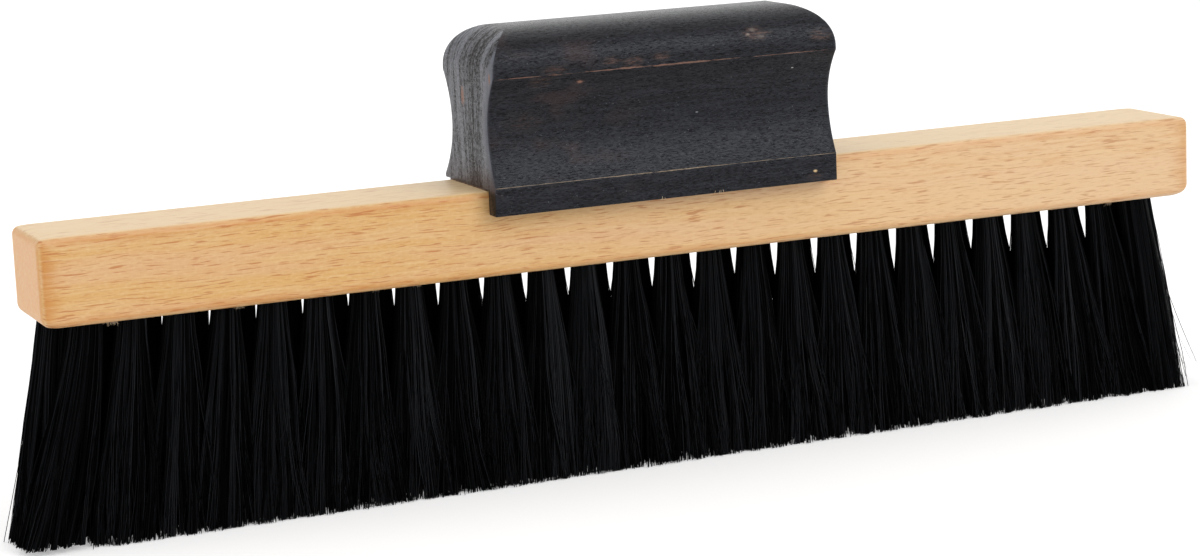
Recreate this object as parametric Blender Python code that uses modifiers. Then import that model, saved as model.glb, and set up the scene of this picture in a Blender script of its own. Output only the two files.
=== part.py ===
"""Record brush: a beech beam set with two staggered rows of black goat hair tufts, and a stained
grip with a rabbeted foot glued on top of it.

Metres, +Z up. X runs along the beam and -Y is the front, where the grip's lip hangs over the beam.
The brush stands on its trimmed hair at z = 0, and the origin is under the middle of its outline.
"""

import math

import bmesh
import bpy
from mathutils import Color, Matrix, Vector

# Beam, a planed beech bar with softened edges
BEAM_LENGTH = 0.1856
BEAM_DEPTH = 0.01556
BEAM_HEIGHT = 0.01258
BEAM_EDGE_RADIUS = 0.0010

# Grip, each depth taken from the beam's mid depth and each height from the beam's top
GRIP_LENGTH = 0.0551
GRIP_SHIFT = 0.0004
GRIP_FOOT_FRONT = 0.01075
GRIP_FOOT_BACK = 0.00905
GRIP_WAIST_FRONT = 0.00863
GRIP_WAIST_BACK = 0.00525
GRIP_BULGE_FRONT = 0.01165
GRIP_BULGE_BACK = 0.00800
GRIP_LIP_DROP = 0.00340
GRIP_ARRIS_HEIGHT = 0.00070
GRIP_WAIST_HEIGHT = 0.00890
GRIP_BULGE_HEIGHT = 0.01635
GRIP_TOP_HEIGHT = 0.02320
GRIP_END_RADIUS = 0.00630
DOME_FULLNESS_SHARE = 2.7

# Tufts, folded into blind holes that fan out towards the beam's ends
HAIR_LENGTH = 0.0318
HOLE_DEPTH = 0.0072
TUFT_DIAMETER = 0.0040
TUFT_NECK = 0.0012
ROW_SPACING = 0.0041
END_MARGIN = 0.00343
REAR_TUFTS = 27
END_LEAN = math.radians(9.0)
ROW_LEAN = math.radians(1.8)

# Strands of a tuft: one in the middle and the others in a ring round it
RING_STRANDS = 6
STRAND_GAP = 0.0003
STRAND_INSET = 0.00005
TUFT_TIP_GAP = 0.0003
TRIM_DEPTH = 0.0005
STRAND_TIP_SHARE = 1.5
BEND_HEIGHT_SHARE = 0.50
BEND_SPREAD_SHARE = 0.36

# Clearance between pieces, how far a cutter runs past what it cuts, and how near points count as one
CLEARANCE = 0.0003
OVERRUN = 0.0010
WELD_DISTANCE = 0.000001

# Facets
EDGE_SEGMENTS = 4
COVE_POINTS = 9
DOME_POINTS = 22
END_POINTS = 8
HOLE_SIDES = 12
TUFT_SIDES = 8
SMOOTH_ANGLE = math.radians(30)

# Colours as sRGB shares of full brightness, with each finish's roughness
BEECH_COLOUR_SHARES = (0.90, 0.74, 0.52)
STAIN_COLOUR_SHARES = (0.13, 0.12, 0.12)
HAIR_COLOUR_SHARES = (0.05, 0.05, 0.06)
BEECH_ROUGHNESS_SHARE = 0.50
STAIN_ROUGHNESS_SHARE = 0.42
HAIR_ROUGHNESS_SHARE = 0.38

# Heights and depths that follow from the sizes above
beam_bottom = HAIR_LENGTH
beam_top = beam_bottom + BEAM_HEIGHT
front_reach = max(GRIP_BULGE_FRONT, GRIP_FOOT_FRONT)
back_reach = max(GRIP_BULGE_BACK, GRIP_FOOT_BACK)
beam_middle_y = (front_reach - back_reach) / 2
tuft_pitch = (BEAM_LENGTH - 2 * END_MARGIN) / (REAR_TUFTS - 1)

# The strands fill the tuft's neck, and at the tips they fan out until neighbouring tufts almost meet
neck_radius = TUFT_DIAMETER / 2 * math.cos(math.pi / TUFT_SIDES)
strand_radius = (neck_radius - STRAND_INSET - STRAND_GAP) / 3
root_ring = 2 * strand_radius + STRAND_GAP
tip_row_spacing = ROW_SPACING + 2 * HAIR_LENGTH * math.tan(ROW_LEAN)
tip_spacing = min(tuft_pitch, math.hypot(tuft_pitch / 2, tip_row_spacing))
tip_ring = (tip_spacing - TUFT_TIP_GAP) / 2 - strand_radius * STRAND_TIP_SHARE


def clear_scene():
    """Remove every object, so that the brush is alone in the scene."""
    for obj in list(bpy.data.objects):
        bpy.data.objects.remove(obj, do_unlink=True)


def new_collection(name):
    """Make a collection and link it to the scene."""
    collection = bpy.data.collections.new(name)
    bpy.context.scene.collection.children.link(collection)
    return collection


def new_material(name, colour_shares, roughness):
    """Make a Principled material from an sRGB colour."""
    material = bpy.data.materials.new(name)
    material.use_nodes = True
    shader = material.node_tree.nodes["Principled BSDF"]
    linear = Color(colour_shares).from_srgb_to_scene_linear()
    shader.inputs["Base Color"].default_value = (*linear, 1)
    shader.inputs["Roughness"].default_value = roughness
    shader.inputs["Metallic"].default_value = 0
    return material


def add_object(name, mesh, collection, material=None):
    """Put a mesh in a collection as an object, smooth except at its sharp edges."""
    mesh.shade_smooth()
    mesh.set_sharp_from_angle(angle=SMOOTH_ANGLE)
    obj = bpy.data.objects.new(name, mesh)
    collection.objects.link(obj)
    if material:
        mesh.materials.append(material)
    else:
        obj.hide_render = True
        obj.display_type = "WIRE"
    return obj


def mesh_from(name, bm):
    """Turn a finished bmesh into a mesh and free it."""
    mesh = bpy.data.meshes.new(name)
    bm.to_mesh(mesh)
    bm.free()
    return mesh


def mesh_from_curve(name, curve):
    """Evaluate a curve and return it as a welded mesh. The curve's own object is removed."""
    holder = bpy.data.objects.new(name, curve)
    bpy.context.scene.collection.objects.link(holder)
    graph = bpy.context.evaluated_depsgraph_get()
    mesh = bpy.data.meshes.new_from_object(holder.evaluated_get(graph))
    bpy.data.objects.remove(holder, do_unlink=True)
    bm = bmesh.new()
    bm.from_mesh(mesh)
    bmesh.ops.remove_doubles(bm, verts=bm.verts, dist=WELD_DISTANCE)
    bmesh.ops.recalc_face_normals(bm, faces=bm.faces)
    bm.to_mesh(mesh)
    bm.free()
    return mesh


def plate_from_outline(name, outline, thickness):
    """Extrude a closed flat outline evenly to both sides of its plane."""
    curve = bpy.data.curves.new(name, "CURVE")
    curve.dimensions = "2D"
    curve.fill_mode = "BOTH"
    curve.extrude = thickness / 2
    spline = curve.splines.new("POLY")
    spline.points.add(len(outline) - 1)
    for point, (across, up) in zip(spline.points, outline):
        point.co = (across, up, 0, 1)
    spline.use_cyclic_u = True
    return mesh_from_curve(name, curve)


def add_boolean(obj, other, operation):
    """Cut or join another object with this one."""
    modifier = obj.modifiers.new(f"{operation.lower()} {other.name}", "BOOLEAN")
    modifier.operation = operation
    modifier.solver = "EXACT"
    modifier.object = other


def cove(end_depth, waist_depth, end_height, waist_height, count):
    """Points of a hollow flank from its end to its waist, as a parabola."""
    points = []
    for step in range(count):
        share = 1 - step / count
        depth = waist_depth + (end_depth - waist_depth) * share**2
        points.append((depth, waist_height + (end_height - waist_height) * share))
    return points


def flank(foot, waist, bulge):
    """Points of one side of the grip from its lower arris up to its bulge, as depth and height."""
    lower = cove(foot, waist, GRIP_ARRIS_HEIGHT, GRIP_WAIST_HEIGHT, COVE_POINTS)
    upper = cove(bulge, waist, GRIP_BULGE_HEIGHT, GRIP_WAIST_HEIGHT, COVE_POINTS)
    return lower + [(waist, GRIP_WAIST_HEIGHT)] + upper[::-1]


def dome_points():
    """Points of the grip's top from front to back. A fullness of 2 would make it half an ellipse."""
    middle = (GRIP_BULGE_BACK - GRIP_BULGE_FRONT) / 2
    half = (GRIP_BULGE_BACK + GRIP_BULGE_FRONT) / 2
    rise = GRIP_TOP_HEIGHT - GRIP_BULGE_HEIGHT
    power = 2 / DOME_FULLNESS_SHARE
    points = []
    for step in range(1, DOME_POINTS):
        angle = math.pi * step / DOME_POINTS
        across = math.copysign(half * abs(math.cos(angle)) ** power, -math.cos(angle))
        points.append((middle + across, GRIP_BULGE_HEIGHT + rise * math.sin(angle) ** power))
    return points


def grip_section():
    """The grip's moulding: y from the beam's mid depth, z from the beam's top, front at -y."""
    front = [(-depth, height) for depth, height in flank(GRIP_FOOT_FRONT, GRIP_WAIST_FRONT, GRIP_BULGE_FRONT)]
    back = flank(GRIP_FOOT_BACK, GRIP_WAIST_BACK, GRIP_BULGE_BACK)
    rabbet_y = -(BEAM_DEPTH / 2 + CLEARANCE)
    foot = [
        (GRIP_FOOT_BACK, CLEARANCE),
        (rabbet_y, CLEARANCE),
        (rabbet_y, -GRIP_LIP_DROP),
        (-GRIP_FOOT_FRONT, -GRIP_LIP_DROP),
    ]
    return front + dome_points() + back[::-1] + foot


def grip_side_outline():
    """The grip seen from the front: square at its foot, with rounded upper ends."""
    half = GRIP_LENGTH / 2
    bottom = -GRIP_LIP_DROP - OVERRUN
    outline = [(-half, bottom), (half, bottom)]
    for side in (1, -1):
        for step in range(END_POINTS + 1):
            turn = step / END_POINTS if side > 0 else 1 - step / END_POINTS
            angle = math.pi / 2 * turn
            across = half - GRIP_END_RADIUS * (1 - math.cos(angle))
            up = GRIP_TOP_HEIGHT - GRIP_END_RADIUS * (1 - math.sin(angle))
            outline.append((side * across, up))
    return outline


def build_grip(parts, cutters, stain):
    """The stained grip: its moulding run along X, rounded at its upper ends."""
    mesh = plate_from_outline("grip", grip_section(), GRIP_LENGTH + 2 * OVERRUN)
    grip = add_object("grip", mesh, parts, stain)
    grip.matrix_world = Matrix(
        ((0, 0, 1, GRIP_SHIFT), (1, 0, 0, beam_middle_y), (0, 1, 0, beam_top), (0, 0, 0, 1))
    )
    depth = 2 * (front_reach + back_reach)
    side = add_object("grip_side_outline", plate_from_outline("side", grip_side_outline(), depth), cutters)
    side.matrix_world = Matrix(
        ((1, 0, 0, GRIP_SHIFT), (0, 0, -1, beam_middle_y), (0, 1, 0, beam_top), (0, 0, 0, 1))
    )
    add_boolean(grip, side, "INTERSECT")
    return grip


def tuft_places():
    """Every tuft's node name and mouth, at the beam's underside, and the way its hair leans."""
    places = []
    for row, count, side in (("front", REAR_TUFTS - 1, -1), ("rear", REAR_TUFTS, 1)):
        for index in range(count):
            x = (index - (count - 1) / 2) * tuft_pitch
            share = 2 * x / BEAM_LENGTH
            lean = Vector((math.tan(END_LEAN) * share * abs(share), side * math.tan(ROW_LEAN), -1))
            mouth = Vector((x, beam_middle_y + side * ROW_SPACING / 2, beam_bottom))
            places.append((row, f"tuft_{row}_{index + 1:02d}", mouth, lean))
    return places


def tuft_frame(mouth, lean):
    """A frame at a tuft's mouth whose Z axis runs up the hole."""
    turn = Vector((0, 0, 1)).rotation_difference(-lean.normalized())
    return Matrix.Translation(mouth) @ turn.to_matrix().to_4x4()


def add_cylinder(bm, frame, sides, radius, low, high):
    """Add a closed cylinder along a frame's Z axis, from low to high."""
    middle = frame @ Matrix.Translation((0, 0, (low + high) / 2))
    bmesh.ops.create_cone(
        bm,
        cap_ends=True,
        segments=sides,
        radius1=radius,
        radius2=radius,
        depth=high - low,
        matrix=middle,
    )


def build_beam(parts, cutters, beech, places):
    """The beech beam with its softened edges and its two rows of blind holes."""
    bpy.ops.mesh.primitive_cube_add(size=1)
    cube = bpy.context.object
    mesh = cube.data.copy()
    bpy.data.objects.remove(cube, do_unlink=True)
    mesh.transform(Matrix.Diagonal((BEAM_LENGTH, BEAM_DEPTH, BEAM_HEIGHT, 1)))
    beam = add_object("beam", mesh, parts, beech)
    beam.location = (0, beam_middle_y, (beam_bottom + beam_top) / 2)
    bevel = beam.modifiers.new("softened edges", "BEVEL")
    bevel.width = BEAM_EDGE_RADIUS
    bevel.segments = EDGE_SEGMENTS
    bevel.limit_method = "ANGLE"
    bevel.angle_limit = SMOOTH_ANGLE
    hole_radius = (TUFT_DIAMETER / 2 + CLEARANCE) / math.cos(math.pi / HOLE_SIDES)
    for row in ("front", "rear"):
        bm = bmesh.new()
        for place_row, _, mouth, lean in places:
            if place_row == row:
                add_cylinder(bm, tuft_frame(mouth, lean), HOLE_SIDES, hole_radius, -OVERRUN, HOLE_DEPTH)
        holes = add_object(f"{row}_holes", mesh_from(f"{row}_holes", bm), cutters)
        add_boolean(beam, holes, "DIFFERENCE")
    return beam


def strand_points(mouth, lean, ring_share, angle):
    """A strand's centre line: inside the neck, at its bend and past the trimmed tips."""
    outward = Vector((math.cos(angle), math.sin(angle), 0)) * ring_share
    bend_drop = HAIR_LENGTH * BEND_HEIGHT_SHARE
    spread = tip_ring - root_ring
    stations = (
        (0, root_ring),
        (bend_drop, root_ring + spread * BEND_SPREAD_SHARE),
        (HAIR_LENGTH + TRIM_DEPTH, tip_ring),
    )
    return [mouth + lean * drop + outward * ring for drop, ring in stations]


def strand_profile(cutters):
    """The three-sided section that every strand is drawn along."""
    curve = bpy.data.curves.new("strand_section", "CURVE")
    spline = curve.splines.new("POLY")
    spline.points.add(2)
    for index, point in enumerate(spline.points):
        angle = 2 * math.pi * index / 3
        point.co = (strand_radius * math.cos(angle), strand_radius * math.sin(angle), 0, 1)
    spline.use_cyclic_u = True
    profile = bpy.data.objects.new("strand_section", curve)
    profile.hide_render = True
    cutters.objects.link(profile)
    return profile


def strands_mesh(name, profile, mouth, lean, turn):
    """All the strands of a tuft. Each is a lock of hair, which widens from the neck to the tips."""
    curve = bpy.data.curves.new(name, "CURVE")
    curve.dimensions = "3D"
    curve.bevel_mode = "OBJECT"
    curve.bevel_object = profile
    curve.use_fill_caps = True
    rings = [(0, 0)] + [(1, turn + 2 * math.pi * index / RING_STRANDS) for index in range(RING_STRANDS)]
    for ring_share, angle in rings:
        points = strand_points(mouth, lean, ring_share, angle)
        spline = curve.splines.new("POLY")
        spline.points.add(len(points) - 1)
        for index, (point, place) in enumerate(zip(spline.points, points)):
            point.co = (*place, 1)
            point.radius = 1 + (STRAND_TIP_SHARE - 1) * index / (len(points) - 1)
    return mesh_from_curve(name, curve)


def build_tufts(parts, cutters, hair, places):
    """Every tuft: a neck folded into its hole, with its strands, trimmed flat at the floor."""
    profile = strand_profile(cutters)
    bm = bmesh.new()
    bmesh.ops.create_cube(bm, size=1)
    block = Vector((2 * BEAM_LENGTH, 4 * (front_reach + back_reach), 4 * TRIM_DEPTH))
    bm.transform(Matrix.Translation((0, beam_middle_y, -block.z / 2)) @ Matrix.Diagonal((*block, 1)))
    trim = add_object("trim_block", mesh_from("trim_block", bm), cutters)
    golden_turn = math.pi * (3 - math.sqrt(5))
    for index, (_, name, mouth, lean) in enumerate(places):
        frame = tuft_frame(mouth, lean)
        bm = bmesh.new()
        add_cylinder(bm, Matrix(), TUFT_SIDES, TUFT_DIAMETER / 2, -TUFT_NECK, HOLE_DEPTH - CLEARANCE)
        tuft = add_object(name, mesh_from(name, bm), parts, hair)
        tuft.matrix_world = frame
        strands = strands_mesh(f"{name}_strands", profile, mouth, lean, golden_turn * index)
        add_boolean(tuft, add_object(f"{name}_strands", strands, cutters), "UNION")
        add_boolean(tuft, trim, "DIFFERENCE")


def main():
    """Build the brush."""
    clear_scene()
    parts = new_collection("record_brush")
    cutters = new_collection("cutters")
    beech = new_material("oiled beech", BEECH_COLOUR_SHARES, BEECH_ROUGHNESS_SHARE)
    stain = new_material("black stained wood", STAIN_COLOUR_SHARES, STAIN_ROUGHNESS_SHARE)
    hair = new_material("black goat hair", HAIR_COLOUR_SHARES, HAIR_ROUGHNESS_SHARE)
    places = tuft_places()
    build_beam(parts, cutters, beech, places)
    build_grip(parts, cutters, stain)
    build_tufts(parts, cutters, hair, places)


main()
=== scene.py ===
"""Looks of a record brush: an oiled beech beam with two staggered rows of black goat hair, and a
black stained grip glued on top of it.

Metres, +Z up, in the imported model's frame. X runs along the beam and -Y is the front, where the
grip's lip hangs over the beam. The trimmed hair stands on the floor at z = 0.
"""

import logging
import math
import random
from dataclasses import dataclass, fields
from enum import Enum
from functools import partial

import bmesh
import bpy
from mathutils import Euler, Matrix, Vector


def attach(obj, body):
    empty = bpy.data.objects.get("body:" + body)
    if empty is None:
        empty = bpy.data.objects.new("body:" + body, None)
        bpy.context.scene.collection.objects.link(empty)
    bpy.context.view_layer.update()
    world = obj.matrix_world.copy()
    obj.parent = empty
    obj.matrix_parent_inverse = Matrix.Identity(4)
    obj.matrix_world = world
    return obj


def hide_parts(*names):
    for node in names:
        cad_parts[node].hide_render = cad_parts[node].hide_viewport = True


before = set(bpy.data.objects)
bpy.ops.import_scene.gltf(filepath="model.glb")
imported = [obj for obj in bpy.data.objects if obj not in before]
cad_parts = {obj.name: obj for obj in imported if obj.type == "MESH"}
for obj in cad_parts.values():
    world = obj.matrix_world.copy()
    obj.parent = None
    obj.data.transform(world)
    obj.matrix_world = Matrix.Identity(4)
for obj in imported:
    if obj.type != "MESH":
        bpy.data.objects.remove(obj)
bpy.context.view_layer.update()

MM = 0.001
WELD = 0.002 * MM
ROOT = "root"
TONE = "tone"
OUTERMOST = 0.92

log = logging.getLogger("record_brush")

Material = bpy.types.Material
Mesh = bpy.types.Mesh
Socket = bpy.types.NodeSocket
Tree = bpy.types.NodeTree
Colour = tuple[float, float, float, float]
Feed = float | int | str | tuple | Vector | Socket | Material


class Job:
    """What a node is for: its type, where its feeds go, what it gives and how it is set."""

    def __init__(
        self, type_id: str, sockets: tuple = (0, 1, 2), out: int | str = 0, **settings: str | bool
    ) -> None:
        """Note the job.

        Args:
            type_id: Blender's name for the node's type.
            sockets: The names or numbers of the sockets that its feeds go to, in order.
            out: The name or number of the output that it gives.
            **settings: The node's own properties.
        """
        self.type_id = type_id
        self.sockets = sockets
        self.out = out
        self.settings = settings


class Kind(Enum):
    """Blender's nodes, by the job that each does here."""

    PLACE = Job("ShaderNodeTexCoord", out="Object")
    FACING = Job("ShaderNodeTexCoord", out="Normal")
    SKY_WAY = Job("ShaderNodeTexCoord", out="Generated")
    HAIR_TONE = Job("ShaderNodeAttribute", out="Fac", attribute_name=TONE)
    RAYS = Job("ShaderNodeLightPath")
    SCALED = Job("ShaderNodeMapping", ("Vector", "Scale"))
    TURNED = Job("ShaderNodeMapping", ("Vector", "Rotation"), vector_type="TEXTURE")
    NOISE = Job("ShaderNodeTexNoise", ("Vector", "Scale", "Detail", "Roughness"))
    DRIFT = Job("ShaderNodeTexNoise", ("Vector", "Scale", "Detail"), "Color")
    CELLS = Job("ShaderNodeTexVoronoi", ("Vector", "Scale"), "Position", voronoi_dimensions="2D")
    BUMP = Job("ShaderNodeBump", ("Height", "Strength", "Distance"), "Normal")
    GLOW = Job("ShaderNodeEmission", ("Strength",))
    BOTH_SHADERS = Job("ShaderNodeAddShader")
    SOFT_MASK = Job("ShaderNodeMapRange", (0, 1, 2, 4), interpolation_type="SMOOTHSTEP")
    SPAN = Job("ShaderNodeMapRange", (0, 3, 4))
    RANGE = Job("ShaderNodeMapRange", (0, 1, 2, 3, 4))
    TINT = Job("ShaderNodeMix", (0, 6, 7), 2, data_type="RGBA")
    BLEND = Job("ShaderNodeMix", (0, 2, 3), data_type="FLOAT")
    BETWEEN = Job("ShaderNodeMix", (0, 4, 5), 1, data_type="VECTOR")
    SPLIT = Job("ShaderNodeSeparateXYZ")
    JOIN = Job("ShaderNodeCombineXYZ")
    PLUS = Job("ShaderNodeMath", operation="ADD")
    MINUS = Job("ShaderNodeMath", operation="SUBTRACT")
    TIMES = Job("ShaderNodeMath", operation="MULTIPLY")
    TIMES_PLUS = Job("ShaderNodeMath", operation="MULTIPLY_ADD")
    OVER = Job("ShaderNodeMath", operation="DIVIDE")
    POWER = Job("ShaderNodeMath", operation="POWER")
    LARGER = Job("ShaderNodeMath", operation="MAXIMUM")
    SMALLER = Job("ShaderNodeMath", operation="MINIMUM")
    UNSIGNED = Job("ShaderNodeMath", operation="ABSOLUTE")
    BELOW = Job("ShaderNodeMath", operation="LESS_THAN")
    SINE = Job("ShaderNodeMath", operation="SINE")
    COSINE = Job("ShaderNodeMath", operation="COSINE")
    VECTOR_PLUS = Job("ShaderNodeVectorMath", operation="ADD")
    VECTOR_MINUS = Job("ShaderNodeVectorMath", operation="SUBTRACT")
    VECTOR_TIMES = Job("ShaderNodeVectorMath", operation="MULTIPLY")
    VECTOR_TIMES_PLUS = Job("ShaderNodeVectorMath", operation="MULTIPLY_ADD")
    VECTOR_UNSIGNED = Job("ShaderNodeVectorMath", operation="ABSOLUTE")
    VECTOR_SIZED = Job("ShaderNodeVectorMath", (0, "Scale"), operation="SCALE")
    VECTOR_LENGTH = Job("ShaderNodeVectorMath", out="Value", operation="LENGTH")
    GIVEN = Job("NodeGroupInput")
    LINE = Job("GeometryNodeCurvePrimitiveLine", ("Start", "End"))
    RING = Job("GeometryNodeCurvePrimitiveCircle", ("Resolution", "Radius"))
    STEPS = Job("GeometryNodeResampleCurve", ("Curve", "Count"))
    COPIES = Job("GeometryNodeDuplicateElements", ("Geometry", "Amount"), domain="SPLINE")
    WHICH_CURVE = Job("GeometryNodeCurveOfPoint")
    ALONG = Job("GeometryNodeSplineParameter")
    CHANCES = Job("FunctionNodeRandomValue", ("ID", "Seed"), data_type="FLOAT_VECTOR")
    MOVE = Job("GeometryNodeSetPosition", ("Geometry", "Position"))
    STORE = Job("GeometryNodeStoreNamedAttribute", ("Geometry", "Name", "Value"), data_type="FLOAT")
    SWEEP = Job("GeometryNodeCurveToMesh", ("Curve", "Profile Curve", "Scale", "Fill Caps"))
    SMOOTH = Job("GeometryNodeSetShadeSmooth", ("Geometry",))
    REALIZE = Job("GeometryNodeRealizeInstances", ("Geometry",))
    DRESS = Job("GeometryNodeSetMaterial", ("Geometry", "Material"))


class Row(Enum):
    """The two rows of tufts, with the side of the beam's middle on which each lies."""

    FRONT = -1
    REAR = 1


class Slot(Enum):
    """The record's material slots."""

    BEECH = "oiled_beech"
    STAIN = "stained_wood"
    HAIR = "goat_hair"


def linear(hex_colour: str) -> Colour:
    """Turn an sRGB hex colour to linear light.

    Args:
        hex_colour: The colour as # and six hex digits.

    Returns:
        Red, green, blue and a full alpha.
    """
    shares = [int(hex_colour[start : start + 2], 16) / 255 for start in (1, 3, 5)]
    red, green, blue = (s / 12.92 if s <= 0.04045 else ((s + 0.055) / 1.055) ** 2.4 for s in shares)
    return red, green, blue, 1.0


def feed(tree: Tree, socket: Socket, value: Feed) -> None:
    """Link a socket to what feeds it, or give it its value.

    Args:
        tree: The tree that holds the socket.
        socket: The socket to feed.
        value: Another node's socket, a value, or a colour as sRGB hex.
    """
    if isinstance(value, Socket):
        tree.links.new(value, socket)
    elif isinstance(value, str) and value.startswith("#"):
        socket.default_value = linear(value)
    else:
        socket.default_value = value


def add_node(tree: Tree, kind: Kind, *feeds: Feed, **settings: bool) -> Socket:
    """Add a node with its settings and with what feeds its sockets.

    Args:
        tree: The node tree that takes it.
        kind: What the node does.
        *feeds: What feeds it, in the order of the kind's sockets.
        **settings: Properties that the kind doesn't set.

    Returns:
        The output that the kind gives.
    """
    job = kind.value
    made = tree.nodes.new(job.type_id)
    for name, setting in (job.settings | settings).items():
        setattr(made, name, setting)
    for key, value in zip(job.sockets, feeds):
        feed(tree, made.inputs[key], value)
    return made.outputs[job.out]


@dataclass(frozen=True)
class Pattern:
    """A pattern on a surface: how large it really is, and how much of it shows.

    Its size is in millimetres along X, Y and Z. Where its noise is at low nothing shows, and where
    it is at high the share top shows. High may lie below low.
    """

    size: tuple[float, float, float]
    detail: float = 2.0
    rough: float = 0.5
    low: float = 0.0
    high: float = 1.0
    top: float = 1.0

    def noise(self, tree: Tree, place: Socket) -> Socket:
        """Draw the pattern's bare noise at a place in metres, and give its socket."""
        scaled = add_node(tree, Kind.SCALED, place, tuple(1 / (length * MM) for length in self.size))
        return add_node(tree, Kind.NOISE, scaled, 1.0, self.detail, self.rough)

    def shown(self, tree: Tree, place: Socket) -> Socket:
        """Draw how much of the pattern shows at a place in metres, and give the mask's socket."""
        return add_node(tree, Kind.SOFT_MASK, self.noise(tree, place), self.low, self.high, self.top)


class Finish:
    """A finish made of one Principled shader, whose sockets the finish's own method feeds.

    A mask's tuple says where it starts, where it is full and how strong it is there. Other tuples
    say what a share of 0 and a share of 1 turn to.
    """

    name: str

    def feeds(self, tree: Tree, place: Socket) -> dict[str, Feed]:
        """Make the nodes that feed the shader, and give what feeds each of its sockets."""
        raise NotImplementedError

    def material(self) -> Material:
        """Make the finish's material.

        Returns:
            The material, under the finish's name.
        """
        made = bpy.data.materials.new(self.name)
        made.use_nodes = True
        tree = made.node_tree
        shader = tree.nodes["Principled BSDF"]
        for socket, value in self.feeds(tree, add_node(tree, Kind.PLACE)).items():
            feed(tree, shader.inputs[socket], value)
        return made


@dataclass(frozen=True)
class OiledBeech(Finish):
    """Steamed beech, planed, sanded and oiled.

    Gives the eye a warm straw brown with short red-brown dashes along the grain, edges that the
    sander and the oil turned orange, and a duller end grain with fine slanting sanding scratches.
    """

    middle: Vector
    half: Vector
    name: str = "oiled beech"
    straw: str = "#DBAA66"
    pale: str = "#E8C591"
    rose: str = "#DDAC79"
    blush: str = "#EDCBA4"
    ray: str = "#BC6C2E"
    rose_ray: str = "#B0682F"
    # Painted sheen: the paler colour painted on the faces that look up
    bleached: str = "#F0D7AC"
    amber: str = "#CC8A42"
    end_grain: str = "#E4A868"
    scratch: str = "#F0D2AA"
    band: Pattern = Pattern((55.0, 7.0, 3.4), 3.0, low=0.36, high=0.66)
    streak: Pattern = Pattern((16.0, 1.0, 0.34), 3.0, 0.6, 0.42, 0.68)
    curl: Pattern = Pattern((9.0, 1.0, 0.50), 3.0, 0.6, 0.46, 0.72, 0.42)
    long_ray: Pattern = Pattern((3.8, 0.6, 0.25), 1.0, low=0.58, high=0.69)
    short_ray: Pattern = Pattern((2.0, 0.45, 0.18), 1.0, low=0.56, high=0.76)
    # Real pores are under 0.1 mm wide. They are drawn about twice as wide, so that they show
    grain: Pattern = Pattern((1.3, 0.30, 0.16))
    fuzz: Pattern = Pattern((0.7, 0.5, 0.4), 3.0, low=0.46, high=0.70, top=0.35)
    pore: Pattern = Pattern((0.9, 0.16, 0.16), 3.0)
    pebble: Pattern = Pattern((0.6, 0.55, 0.45), 3.0, 0.6, 0.40, 0.68, 0.4)
    sanding: Pattern = Pattern((9.0, 7.0, 0.20), 1.0, low=0.70, high=0.76, top=0.55)
    oil_rim: Pattern = Pattern((6.0, 1.2, 1.2), 4.0, 0.7)
    upper_rim: Pattern = Pattern((30.0, 4.0, 4.0))
    pale_fleck: tuple = (0.50, 0.80, 0.30)
    dark_fleck: tuple = (0.46, 0.20, 0.22)
    faces_up: tuple = (0.75, 0.98)
    faces_out: tuple = (0.72, 0.99)
    faces_end: tuple = (0.62, 0.92)
    paler: tuple = (-55 * MM, 75 * MM)
    upper_part: tuple = (2 * MM, 6 * MM)
    upper_waves: float = 8 * MM
    drift_length: float = 14 * MM
    drift_reach: float = 1 * MM
    edge_width: float = 1.7 * MM
    edge_core: float = 0.1 * MM
    end_narrowing: float = 0.45
    pale_share: float = 0.45
    blush_share: float = 0.65
    # How much of the top's painted sheen shows
    bleached_share: float = 0.7
    end_amber: float = 0.25
    oil_in_streaks: tuple = (1.0, 0.55)
    oil_rightwards: tuple = (1.0, 0.55)
    short_rays_rightwards: tuple = (0.42, 0.45)
    rays_upwards: tuple = (0.72, 0.32)
    rays_rightwards: tuple = (1.0, 0.68)
    sanding_slant: float = math.radians(-47)
    roughness: tuple = (0.34, 0.52)
    ray_dent: float = 0.5
    bump_strength: float = 0.3
    bump_depth: float = 0.03 * MM

    def edge(self, tree: Tree, place: Socket) -> Socket:
        """Draw the beam's edges as a mask.

        Args:
            tree: The material's tree.
            place: Object coordinates in metres.

        Returns:
            A mask socket, 1 at an edge and 0 beyond the edge's width.
        """
        add = partial(add_node, tree)
        off_middle = add(Kind.VECTOR_UNSIGNED, add(Kind.VECTOR_MINUS, place, self.middle))
        x, y, z = add(Kind.SPLIT, add(Kind.VECTOR_MINUS, self.half, off_middle)).node.outputs
        x = add(Kind.TIMES, x, self.end_narrowing)
        edges = [add(Kind.LARGER, *faces) for faces in ((x, y), (y, z), (x, z))]
        nearest = add(Kind.SMALLER, add(Kind.SMALLER, edges[0], edges[1]), edges[2])
        width = add(Kind.TIMES, self.oil_rim.noise(tree, place), self.edge_width * 2)
        return add(Kind.SOFT_MASK, nearest, width, self.edge_core)

    def long_grain(self, tree: Tree, place: Socket, edge: Socket) -> tuple[Socket, Socket]:
        """Draw the sides: tone bands, fine streaks, and rays cut across as pointed dashes.

        Args:
            tree: The material's tree.
            place: Object coordinates in metres.
            edge: The mask of the beam's edges.

        Returns:
            The colour's socket and the rays' mask.
        """
        add = partial(add_node, tree)
        # The grain wanders by a few tenths of a millimetre, so that no dash is quite straight
        drift = add(Kind.DRIFT, place, 1 / self.drift_length, 1.0)
        along = add(Kind.VECTOR_TIMES_PLUS, drift, (0.0, self.drift_reach, self.drift_reach), place)
        # From left to right the bar turns paler and a little pinker, and its rays smaller and denser
        x, _, z = add(Kind.SPLIT, place).node.outputs
        right = add(Kind.SOFT_MASK, x, *self.paler)
        streaks = self.streak.shown(tree, along)
        wood = add(Kind.TINT, self.band.shown(tree, along), self.straw, self.rose)
        wood = add(Kind.TINT, add(Kind.TIMES, streaks, self.pale_share), wood, self.pale)
        wood = add(Kind.TINT, add(Kind.TIMES, right, self.blush_share), wood, self.blush)
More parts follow.
